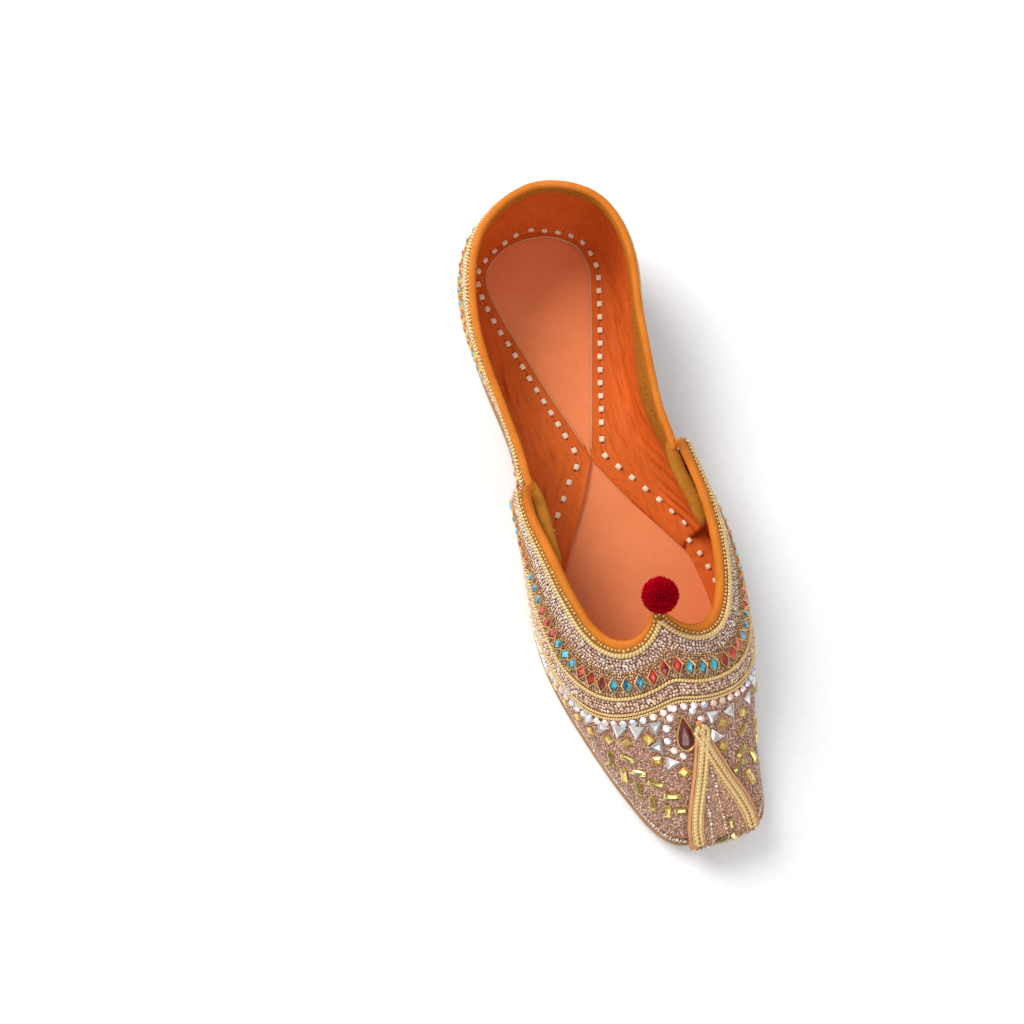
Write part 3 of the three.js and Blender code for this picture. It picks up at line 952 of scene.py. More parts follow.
COUNTER_ROWS = tuple(Wall(*row) for row in (
    (0, 50.6, -0.6, 2.8), (10, 50, 0, 3.4), (25, 48.2, 1.1, 3.6), (42, 45.2, 2.8, 2.6),
    (62, 41.8, 3.8, 0.9), (80, 39.4, 4.2, -0.4), (96, 37.8, 3.8, 0.2), (110, 36.8, 2, 2),
    (126, 36, -1.2, 3), (COUNTER_FRONT, 35.4, -3.8, 3),
))


class Column:
    """Smooth interpolation of one column of a table that never overshoots its rows."""

    def __init__(self, stations: Sequence[float], values: Sequence[float]) -> None:
        """Keeps the rows and works out a slope at each.

        Args:
            stations: where the rows lie, rising.
            values: the column's value in each row.
        """
        self.x = np.array(stations, float)
        self.y = np.array(values, float)
        slope = np.diff(self.y) / np.diff(self.x)
        before, after = slope[:-1], slope[1:]
        total = np.where(np.abs(before + after) < 1e-12, 1.0, before + after)
        inner = np.where(before * after <= 0, 0.0, 2 * before * after / total)
        self.tangent = np.concatenate([slope[:1], inner, slope[-1:]])

    def __call__(self, station: Array | float) -> Array:
        """Values at stations.

        Args:
            station: one or several stations, held to the table's range.

        Returns:
            The values.
        """
        x = np.clip(np.asarray(station, float), self.x[0], self.x[-1])
        i = np.clip(np.searchsorted(self.x, x) - 1, 0, len(self.x) - 2)
        span = self.x[i + 1] - self.x[i]
        t = (x - self.x[i]) / span
        value = (1 + 2 * t) * (1 - t) ** 2 * self.y[i] + t * t * (3 - 2 * t) * self.y[i + 1]
        bend = t * (1 - t) ** 2 * self.tangent[i] + t * t * (t - 1) * self.tangent[i + 1]
        return value + bend * span


def table_column(rows: Sequence[tuple], index: int) -> Column:
    """Interpolation of one column of rows whose first column is the station."""
    return Column([row[0] for row in rows], [row[index] for row in rows])


def curve_through(points: Array, closed: bool, steps: int = 40) -> Array:
    """Centripetal Catmull-Rom curve through points.

    Args:
        points: corners (n, 2) or (n, 3).
        closed: whether the curve returns to its start.
        steps: samples from point to point.

    Returns:
        The sampled curve.
    """
    if closed:
        ring = np.concatenate([points[-1:], points, points[:2]])
    else:
        ring = np.concatenate([[2 * points[0] - points[1]], points, [2 * points[-1] - points[-2]]])
    sampled = []
    t = (np.arange(steps) / steps)[:, None]
    for p0, p1, p2, p3 in zip(ring, ring[1:], ring[2:], ring[3:]):
        d0, d1, d2 = (max(np.linalg.norm(b - a) ** 0.5, 1e-4) for a, b in ((p0, p1), (p1, p2), (p2, p3)))
        m1 = ((p1 - p0) / d0 - (p2 - p0) / (d0 + d1) + (p2 - p1) / d1) * d1
        m2 = ((p2 - p1) / d1 - (p3 - p1) / (d1 + d2) + (p3 - p2) / d2) * d1
        sampled.append((2 * t**3 - 3 * t**2 + 1) * p1 + (t**3 - 2 * t**2 + t) * m1
                       + (3 * t**2 - 2 * t**3) * p2 + (t**3 - t**2) * m2)
    if not closed:
        sampled.append(points[-1:])
    return np.concatenate(sampled)


@dataclass
class Last:
    """The shape the shoe is made on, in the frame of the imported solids."""

    sole_thickness: float = 3.0
    gap: float = 0.3
    margin: float = 2.0
    vamp_wall: float = 2.2
    counter_wall: float = 2.0
    tuck_start: float = 84.0
    wing_bottom: float = 112.0
    tuck_clearance: float = 2.4
    sway_height: float = 40.0

    def __post_init__(self) -> None:
        """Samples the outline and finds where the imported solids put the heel."""
        self.middle = table_column(SOLE_ROWS, 2)
        self.rise = table_column(BOTTOM, 1)
        self.sway = table_column(SWAY, 1)
        self.crown, self.shoulder, self.belly, self.lift = (
            table_column(VAMP_ROWS, i) for i in range(1, len(Section._fields)))
        self.collar, self.flare, self.counter_belly = (
            table_column(COUNTER_ROWS, i) for i in range(1, len(Wall._fields)))
        side = np.array([(row.station, row.half) for row in SOLE_ROWS], float)
        other = side[-2:0:-1] * (1, -1)
        steps = 60
        full = curve_through(np.concatenate([side, other]), True, steps)
        half = full[: (len(SOLE_ROWS) - 1) * steps + 1]
        walked = walked_length(half)
        self.shares = walked / walked[-1]
        self.half_line = half
        tangent = unit(np.gradient(half, axis=0))
        tangent[0], tangent[-1] = (0, 1), (0, -1)
        self.half_tangent = tangent
        low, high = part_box("outsole")
        own_low = (self.middle(half[:, 0]) - half[:, 1]).min()
        self.shift = np.array([low[0] / MM - own_low, high[1] / MM, 0.0])

    def feather(self, station: Array) -> Array:
        """Height of the upper's lower edge."""
        return self.rise(station) + self.sole_thickness + self.gap

    def share_at(self, station: Array | float) -> Array:
        """Share of the half outline at which a station is reached."""
        return np.interp(station, self.half_line[:, 0], self.shares)

    def station_at(self, share: Array) -> Array:
        """Station of a share of the half outline."""
        return np.interp(share, self.shares, self.half_line[:, 0])

    def edge(self, share: Array, inset: Array | float) -> tuple[Array, Array]:
        """The outline moved inwards.

        Args:
            share: share of the half outline, from the heel.
            inset: how far inwards.

        Returns:
            Station and half width.
        """
        point = [np.interp(share, self.shares, self.half_line[:, i]) for i in (0, 1)]
        tangent = [np.interp(share, self.shares, self.half_tangent[:, i]) for i in (0, 1)]
        station = point[0] + tangent[1] * inset
        half = np.maximum(0.0, point[1] - tangent[0] * inset)
        ends = (np.asarray(share) <= 0) | (np.asarray(share) >= 1)
        return station, np.where(ends, 0.0, half)

    def place(self, station: Array, across: Array, height: Array) -> Array:
        """Points from station, distance from the middle line and height."""
        sway = self.sway(station) * (height - self.feather(station)) / self.sway_height
        return np.stack([self.middle(station) + across + sway, -station, height], -1) + self.shift

    def flat_place(self, station: Array, across: Array, height: Array) -> Array:
        """Points of the sole and the footbed, which do not lean."""
        return np.stack([self.middle(station) + across, -station, height], -1) + self.shift

    def half_section(self, share: Array, t: Array, inset: float) -> tuple[Array, Array, Array]:
        """Vamp section from the crown to the feather edge.

        Args:
            share: share of the half outline at which the section's foot lies.
            t: 0 at the crown and 1 at the feather edge.
            inset: depth under the outer face.

        Returns:
            Station, distance from the middle line and height.
        """
        station, half = self.edge(share, self.margin + inset)
        foot = self.feather(station)
        crown = np.maximum(foot, self.crown(station) - inset * 1.1)
        xs = (0.0, half * self.shoulder(station), half + self.belly(station), half)
        zs = (crown, crown, foot + (crown - foot) * self.lift(station), foot)
        weights = ((1 - t) ** 3, 3 * (1 - t) ** 2 * t, 3 * (1 - t) * t**2, t**3)
        across = sum(w * x for w, x in zip(weights, xs))
        height = sum(w * z for w, z in zip(weights, zs))
        return station + 0 * across, across, height

    def vamp_inside(self, share: Array, height: Array) -> Array:
        """Half width of the vamp's inner face at a height.

        Args:
            share: share of the half outline.
            height: height over the floor.

        Returns:
            Distance from the middle line.
        """
        low, high = np.zeros_like(height), np.ones_like(height)
        for _ in range(30):
            mid = (low + high) / 2
            over = self.half_section(share, mid, self.vamp_wall)[2] > height
            low, high = np.where(over, mid, low), np.where(over, high, mid)
        return self.half_section(share, (low + high) / 2, self.vamp_wall)[1]

    def counter_point(self, s: Array, v: Array, inset: Array | float) -> Array:
        """Points of the counter wall.

        Args:
            s: 0 at one front end, 1 at the other, round the heel.
            v: 0 at the feather edge, 1 at the collar.
            inset: depth under the outer face.

        Returns:
            Points in millimetres.
        """
        side = np.sign(s - 0.5)
        share = np.abs(2 * s - 1) * self.share_at(COUNTER_FRONT)
        nominal = self.station_at(share)
        foot = self.feather(nominal)
        height = foot + (self.collar(nominal) - foot) * v
        outwards = self.flare(nominal) * v + self.counter_belly(nominal) * 4 * v * (1 - v)
        station, half = self.edge(share, self.margin + inset - outwards)
        inside = self.vamp_inside(self.share_at(station), height) - self.tuck_clearance - inset
        tuck_length = self.wing_bottom - 1 - self.tuck_start
        t = np.clip((nominal - self.tuck_start) / tuck_length, 0, 1)
        tucked = t * t * (3 - 2 * t)
        half = half + (np.minimum(half, inside) - half) * tucked
        return self.place(station, side * half, height)


@dataclass
class Skin:
    """A wall of the shoe with flat coordinates in millimetres.

    The first coordinate runs along the rows. The second runs over the columns: either across from
    the middle line, or down from the first column.
    """

    outer: Array
    inner: Array
    xs: Array
    ys: Array
    stations: Array
    heart: Array
    centred: bool = True

    def __post_init__(self) -> None:
        """Works out the normals, turned away from the heart of the shoe."""
        normal = grid_normals(self.outer)
        flip = np.sign(np.einsum("ijk,ijk->", normal, self.outer - self.heart))
        self.normals = normal * flip

    def _spot(self, flat: Array) -> tuple[Array, Array, Array, Array]:
        """Cell of flat coordinates.

        Args:
            flat: flat coordinates (n, 2).

        Returns:
            Row, column and the shares within the cell along both.
        """
        rows = np.interp(flat[:, 0], self.xs, np.arange(len(self.xs)))
        i = np.clip(rows.astype(int), 0, len(self.xs) - 2)
        fx = rows - i
        ratio = flat[:, 1] / (self.ys[i] + (self.ys[i + 1] - self.ys[i]) * fx)
        if self.centred:
            ratio = (ratio + 1) / 2
        columns = np.clip(ratio, 0, 1) * (self.outer.shape[1] - 1)
        j = np.clip(columns.astype(int), 0, self.outer.shape[1] - 2)
        return i, j, fx[:, None], (columns - j)[:, None]

    @staticmethod
    def _mix(grid: Array, spot: tuple) -> Array:
        """Bilinear value of a grid.

        Args:
            grid: values at the rows and columns.
            spot: what _spot returns.

        Returns:
            The values in the cells.
        """
        i, j, fx, fy = spot
        return ((grid[i, j] * (1 - fx) + grid[i + 1, j] * fx) * (1 - fy)
                + (grid[i, j + 1] * (1 - fx) + grid[i + 1, j + 1] * fx) * fy)

    def at(self, flat: Array, lift: Array | float = 0.0) -> tuple[Array, Array]:
        """Points and normals over the outer face.

        Args:
            flat: flat coordinates (n, 2).
            lift: height over the face.

        Returns:
            Points (n, 3) and normals (n, 3).
        """
        spot = self._spot(flat)
        normal = unit(self._mix(self.normals, spot))
        return self._mix(self.outer, spot) + normal * np.reshape(lift, (-1, 1)), normal

    def within(self, flat: Array, depth: float) -> Array:
        """Points inside the wall: depth 0 is its outer face and 1 its inner one."""
        spot = self._spot(flat)
        return self._mix(self.outer, spot) * (1 - depth) + self._mix(self.inner, spot) * depth

    def within_grid(self, flat: Array, depth: float) -> Array:
        """The same for a grid (rows, columns, 2) of flat coordinates."""
        return self.within(flat.reshape(-1, 2), depth).reshape(*flat.shape[:2], 3)

    def frames(self, flat: Array, direction: Array, lift: Array | float = 0.0) -> tuple[Array, Array]:
        """Where and how pieces lie that point along a flat direction.

        Args:
            flat: flat coordinates (n, 2).
            direction: flat directions (n, 2).
            lift: height over the face.

        Returns:
            Points (n, 3) and frames (n, 3, 3) with rows along, across and up.
        """
        point, normal = self.at(flat, lift)
        along = self.at(flat + direction * 0.4)[0] - self.at(flat - direction * 0.4)[0]
        return point, frames_of(along, normal)

    def reach(self, x: Array) -> Array:
        """Largest second coordinate at x."""
        return np.interp(x, self.xs, self.ys)

    def x_of(self, station: Array | float) -> Array:
        """First coordinate at which the rows reach a station."""
        return np.interp(station, self.stations, self.xs)

    def under(self, spot: Array) -> Array:
        """Flat coordinates of the highest point over a spot in plan.

        Args:
            spot: frame coordinates (2,) in millimetres.

        Returns:
            Flat coordinates (2,).
        """
        away = np.linalg.norm(self.outer[..., :2] - spot, axis=2) - self.outer[..., 2] * 0.01
        i, j = np.unravel_index(np.argmin(away), away.shape)
        share = j / (self.outer.shape[1] - 1)
        return np.array([self.xs[i], self.ys[i] * (2 * share - 1 if self.centred else share)])


def section_girth(across: Array, height: Array) -> Array:
    """Length walked along each section (a row) of the vamp, from its crown."""
    step = np.hypot(np.diff(across, axis=1), np.diff(height, axis=1))
    return np.concatenate([np.zeros((len(step), 1)), np.cumsum(step, 1)], 1)


def vamp_skin(last: Last, rows: int = 300, columns: int = 90) -> Skin:
    """The vamp: x along the crown, y the girth from it.

    Args:
        last: the shoe's last.
        rows: sections from the wings to the toe.
        columns: points of half a section.

    Returns:
        The skin, with no throat cut into it.
    """
    shares = np.linspace(float(last.share_at(104.0)), 1.0, rows)
    t = np.linspace(0, 1, 160)
    station, across, height = last.half_section(shares[:, None], t[None, :] + 0 * shares[:, None], 0.0)
    girth = section_girth(across, height)
    even = np.linspace(0, 1, columns)
    own = np.stack([np.interp(even * girth[i, -1], girth[i], t) for i in range(rows)])
    grids = []
    for inset in (0.0, last.vamp_wall):
        s, a, h = last.half_section(shares[:, None] + 0 * own, own, inset)
        left, right = last.place(s, -a, h), last.place(s, a, h)
        grids.append(np.concatenate([left[:, :0:-1], right], 1))
    crown = grids[0][:, columns - 1]
    heart = grids[0].mean((0, 1)) - (0, 0, 25)
    return Skin(*grids, walked_length(crown), np.maximum(girth[:, -1], 0.05), station[:, 0], heart)


def counter_skin(last: Last, rows: int = 300, columns: int = 40) -> Skin:
    """The counter: x from one front end round the heel to the other, y down from the collar.

    Args:
        last: the shoe's last.
        rows: sections round the heel.
        columns: points of a section.

    Returns:
        The skin.
    """
    s = np.linspace(0, 1, rows)[:, None] + np.zeros((1, columns))
    v = np.linspace(1, 0, columns)[None, :] + np.zeros((rows, 1))
    grids = [last.counter_point(s, v, inset) for inset in (0.0, last.counter_wall)]
    walked = walked_length(grids[0][:, columns // 3])
    walked -= np.interp(0.5, s[:, 0], walked)
    depth = np.linalg.norm(np.diff(grids[0], axis=1), axis=2).sum(1)
    heart = grids[0].mean((0, 1)) + (0, -20, 0)
    return Skin(*grids, walked, depth, s[:, 0], heart, False)


# ---------------------------------------------------------------- trimming

@dataclass
class Bench:
    """Sets beads, cords and stones on a skin."""

    skin: Skin
    seed: int = SEED

    def __post_init__(self) -> None:
        """Starts the bench's own random numbers."""
        self.random = np.random.default_rng(self.seed)

    def beads(self, line: Array, size: float, pitch: float) -> Form:
        """A row of seed beads, each a little off the line and off its size.

        Args:
            line: flat path (n, 2).
            size: bead diameter.
            pitch: distance from bead to bead.

        Returns:
            The row.
        """
        squash, lift = 0.8, 0.3
        flat, direction = spaced(line, pitch, self.random.uniform(0.2, 0.8))
        count = len(flat)
        flat = flat + self.random.normal(0, size * 0.11, (count, 2))
        point, frames = self.skin.frames(flat, direction, size * lift)
        scales = np.array([0.5, 0.5, 0.5 * squash]) * size * self.random.normal(1, 0.13, (count, 1))
        return swarm(ball(6 if size > 1.05 else 5, 3), point, self.tilted(frames, 0.15), scales)

    def tilted(self, frames: Array, amount: float) -> Array:
        """Frames with a small random tilt each."""
        return unit(frames + self.random.normal(0, amount, frames.shape) * 0.5)

    def cord(self, line: Array, radius: float, twist: float, lift: float) -> Form:
        """A twisted cord laid along a flat path.

        Args:
            line: flat path (n, 2).
            radius: radius of the cord.
            twist: length of one turn of a strand.
            lift: height of its axis over the skin.

        Returns:
            The cord.
        """
        length = walked_length(line)[-1]
        count = max(8, int(length / twist * 6))
        flat, direction = spaced(line, length / count)
        point, frames = self.skin.frames(flat, direction, lift)
        return rope(point, frames[:, 1], frames[:, 2], radius, twist)

    def whip(self, line: Array, width: float, pitch: float, lean: float = 0.6) -> Form:
        """A row of slanted stitches that overlap like a twisted cord.

        Args:
            line: flat path (n, 2).
            width: width of the row.
            pitch: distance from stitch to stitch.
            lean: turn of the stitches from the path.

        Returns:
            The row.
        """
        flat, direction = spaced(line, pitch)
        c, s = math.cos(lean), math.sin(lean)
        turned = np.stack([direction[:, 0] * c - direction[:, 1] * s,
                           direction[:, 0] * s + direction[:, 1] * c], 1)
        point, frames = self.skin.frames(flat, turned, width * 0.3)
        return swarm(ball(6, 4), point, self.tilted(frames, 0.05), np.array([0.72, 0.42, 0.5]) * width)

    def braid(self, line: Array, width: float, pitch: float) -> Form:
        """Two rows of stitches that lean towards each other.

        Args:
            line: flat path (n, 2).
            width: width of both rows.
            pitch: distance from stitch to stitch.

        Returns:
            The braid.
        """
        direction = unit(np.gradient(line, axis=0))
        side = np.stack([-direction[:, 1], direction[:, 0]], 1) * width * 0.24
        return Form.joined([self.whip(line + k * side, width * 0.62, pitch, 0.6 * k) for k in (-1, 1)])

    def ribbon(self, line: Array, half_width: float, height: float) -> Form:
        """A flat strip with soft upper corners, laid along a flat path.

        Args:
            line: flat path (n, 2).
            half_width: half its width.
            height: height of its upper face.

        Returns:
            The strip.
        """
        flat, direction = spaced(line, 0.9)
        point, frames = self.skin.frames(flat, direction)
        w, h = half_width, height
        ring = np.array([[-w, -0.2], [w, -0.2], [w, h * 0.6], [w * 0.85, h], [-w * 0.85, h], [-w, h * 0.6]])
        return sweep(point, frames[:, 1], frames[:, 2], constant(ring))

    def set_at(self, form: Form, flat: Array, direction: Array, lift: float = 0.0,
               scales: Array | float = 1.0, tilt: float = 0.06) -> Form:
        """Copies of a form, each along its own flat direction."""
        point, frames = self.skin.frames(flat, unit(direction), lift)
        return swarm(form, point, self.tilted(frames, tilt), scales)


def constant(ring: Array) -> Callable[[Array], Array]:
    """A section for sweep that is the same all along."""
    return lambda walked: np.broadcast_to(ring, (len(walked), *ring.shape))


def rope(point: Array, across: Array, up: Array, radius: float, twist: float, sides: int = 8) -> Form:
    """Two strands twisted together, as one closed tube.

    Args:
        point: its axis (n, 3).
        across: directions square to the axis.
        up: directions square to both.
        radius: radius of the cord.
        twist: length of one turn of a strand.
        sides: points of its section.

    Returns:
        The rope.
    """
    angle = 2 * np.pi * np.arange(sides) / sides

    def section(walked: Array) -> Array:
        """Lobed section that turns along the cord."""
        turned = angle[None, :] - (2 * np.pi * walked / twist)[:, None]
        return (radius * (0.82 + 0.24 * np.cos(2 * turned)))[..., None] * headings(angle)

    return sweep(point, across, up, section)


class Crease(NamedTuple):
    """A soft ridge (height over 0) or trough between two spots of a sheet."""

    x0: float
    y0: float
    x1: float
    y1: float
    height: float
    width: float


def relief(x: Array, y: Array, creases: Sequence[Crease]) -> Array:
    """Height of all creases over a sheet.

    Args:
        x: first sheet coordinate.
        y: second one.
        creases: the creases, which add up.

    Returns:
        The height.
    """
    total = np.zeros(np.broadcast(x, y).shape)
    for c in creases:
        dx, dy = c.x1 - c.x0, c.y1 - c.y0
        t = np.clip(((x - c.x0) * dx + (y - c.y0) * dy) / (dx * dx + dy * dy), 0, 1)
        away = np.hypot(x - c.x0 - t * dx, y - c.y0 - t * dy)
        total += c.height * np.exp(-((away / c.width) ** 2)) * np.sin(np.pi * (0.08 + 0.84 * t)) ** 0.6
    return total


# ---------------------------------------------------------------- the shoe's parts

def plate(last: Last, share: Array, inset: Array, profile: Sequence[tuple[float, float]],
          above: Array, below: Array) -> Form:
    """A closed plate that follows the sole's outline.

    Args:
        last: the shoe's last.
        share: shares of the half outline at which its sections lie.
        inset: distance of its edge from the sole's.
        profile: its edge from below to above, as distance inwards and height over the sole's underside.
        above: where its upper face has points, as shares of its half width.
        below: the same of its lower face.

    Returns:
        The plate.
    """
    sides = []
    for inwards, height in profile:
        station, half = last.edge(share, inset + inwards)
        sides.append((station, half, last.rise(station) + height))
    bottom, top = sides[0], sides[-1]
    loop = [*sides, *[(top[0], top[1] * k, top[2]) for k in above]]
    loop += [(station, -half, height) for station, half, height in reversed(sides)]
    loop += [(bottom[0], bottom[1] * k, bottom[2]) for k in below]
    rings = np.stack([last.flat_place(*item) for item in loop], 1)
    return facing_out(Form(rings.reshape(-1, 3), ring_faces(rings.shape[1], len(rings))))


UP = np.array([0.0, 0.0, 1.0])


@dataclass
class Outsole:
    """Leather sole with rounded edges and a running stitch below."""

    last: Last
    stitch_inset: float = 5.5
    stitch_pitch: float = 7.0

    def build(self) -> None:
        """Makes the sole, with a groove for its stitches, and sews it."""
        thick = self.last.sole_thickness
        deep = self.stitch_inset
        profile = ((deep + 1.1, 0.0), (deep + 0.7, 0.5), (deep - 0.7, 0.5), (deep - 1.1, 0.0),
                   (1.3, 0.0), (0.45, 0.15), (0.0, 0.7), (0.0, 1.5), (0.06, 1.62), (0.06, thick - 0.6),
                   (0.35, thick - 0.12), (1.1, thick))
        share = np.concatenate([np.linspace(0.0, 0.12, 40)[:-1], np.linspace(0.12, 0.86, 150)[:-1],
                                np.linspace(0.86, 1.0, 50)])
        face = np.linspace(-0.85, 0.85, 12)
        form = plate(self.last, share, np.zeros(len(share)), profile, -face, face)
        Piece("sole_plate", Finish.SOLE, Slot.SOLE, True, ("outsole",), weld=True).make(form)
        self.stitches()

    def stitches(self) -> None:
        """Sews the sole from below along its edge."""
        share = np.linspace(0.01, 0.985, 600)
        station, half = self.last.edge(share, self.stitch_inset)
        height = self.last.rise(station) + 0.42
        forms = []
        for side in (1, -1):
            line = self.last.flat_place(station, side * half, height)[half > 3]
            point, direction = spaced(line, self.stitch_pitch)
            up = np.broadcast_to(-UP, point.shape)
            frames = np.stack([direction, np.cross(up, direction), up], 1)
            forms.append(swarm(ball(8, 6), point, frames, (2.3, 0.6, 0.4)))
        Piece("sole_stitches", Finish.STITCH, Slot.STITCH).make(*forms)


# Station, and how far the edge of the footbed lies inside that of the sole.
FOOTBED_INSET = ((0, 4.7), (78, 4.7), (94, 8), (106, 9.3), (143, 9.3), (154, 5), (215, 5.2), (240, 7.5),
                 (256, 10))


@dataclass
class Footbed:
    """Smooth insole that the flanges of the lining lie on."""

    last: Last
    top: float = 5.8
    thickness: float = 2.5

    def build(self) -> None:
        """Makes the insole plate."""
        share = np.linspace(0.0, 1.0, 240)
        inset = table_column(FOOTBED_INSET, 1)(self.last.station_at(share))
        base = self.top - self.thickness
        profile = ((0.5, base), (0.0, base + 0.5), (0.0, self.top - 0.5), (0.6, self.top))
        form = plate(self.last, share, inset, profile, np.linspace(0.9, -0.9, 24), np.linspace(-0.8, 0.8, 5))
        Piece("footbed", Finish.FOOTBED, Slot.LINING, True, ("insole",), weld=True).make(form)

    def height(self, station: Array) -> Array:
        """Height of its upper face."""
        return self.last.rise(station) + self.top


class FlangeRow(NamedTuple):
    """Where the flange that starts at a wall station ends on the footbed."""

    wall_station: float
    station: float
    across: float


RIGHT_FLANGE = tuple(FlangeRow(*row) for row in (
    (0, 6.2, 3.5), (3, 7, 10), (8, 11.4, 18.6), (14, 16.8, 23), (24, 25, 24), (36, 36, 21.4),
    (52, 51, 17.1), (70, 70, 11.1), (84, 85, 6.3), (94, 97, 2.4), (100, 101.6, 1.1),
    (107, 107, 3.4), (116, 116, 8), (126, 126, 13.8), (135, 137, 20), (142, 146, 25.2),
))
LEFT_FLANGE = tuple(FlangeRow(*row) for row in (
    (0, 6.2, 3.5), (3, 7, -3), (8, 10.8, -11.6), (14, 15.8, -16.6), (24, 23, -18), (36, 34, -16.6),
    (52, 50, -12.7), (66, 64, -9.1), (80, 77, -5.7), (90, 89, -2.4), (98, 99, 0.2), (102, 102, 0.5),
    (109, 107, -1.8), (118, 115, -5.9), (128, 125, -11.9), (136, 134, -17.4), (142, 142, -22),
))


class SeamRow(NamedTuple):
    """How far from the flange's edge its stitches run at a wall station, measured along the sheet."""

    wall_station: float
    right: float
    left: float


SEAM_ROWS = tuple(SeamRow(*row) for row in (
    (0, 5.6, 5.6), (10, 4.4, 4.4), (24, 3.7, 3.6), (60, 3.7, 3.5), (84, 4.4, 4), (100, 5.2, 5),
    (112, 7.6, 9), (128, 9.5, 12.5), (COUNTER_FRONT, 9.5, 13),
))


# Room between the footbed and what lies on it.
FLOOR_GAP = 0.05


def bent(start: Array, corner: Array, end: Array, t: Array) -> Array:
    """Curves that leave start towards corner and reach end.

    Args:
        start: starting points (n, 3).
        corner: points that the curves turn near (n, 3).
        end: end points (n, 3).
        t: shares of the way (1, m, 1).

    Returns:
        Points (n, m, 3).
    """
    return (1 - t) ** 2 * start[:, None] + 2 * t * (1 - t) * corner[:, None] + t**2 * end[:, None]


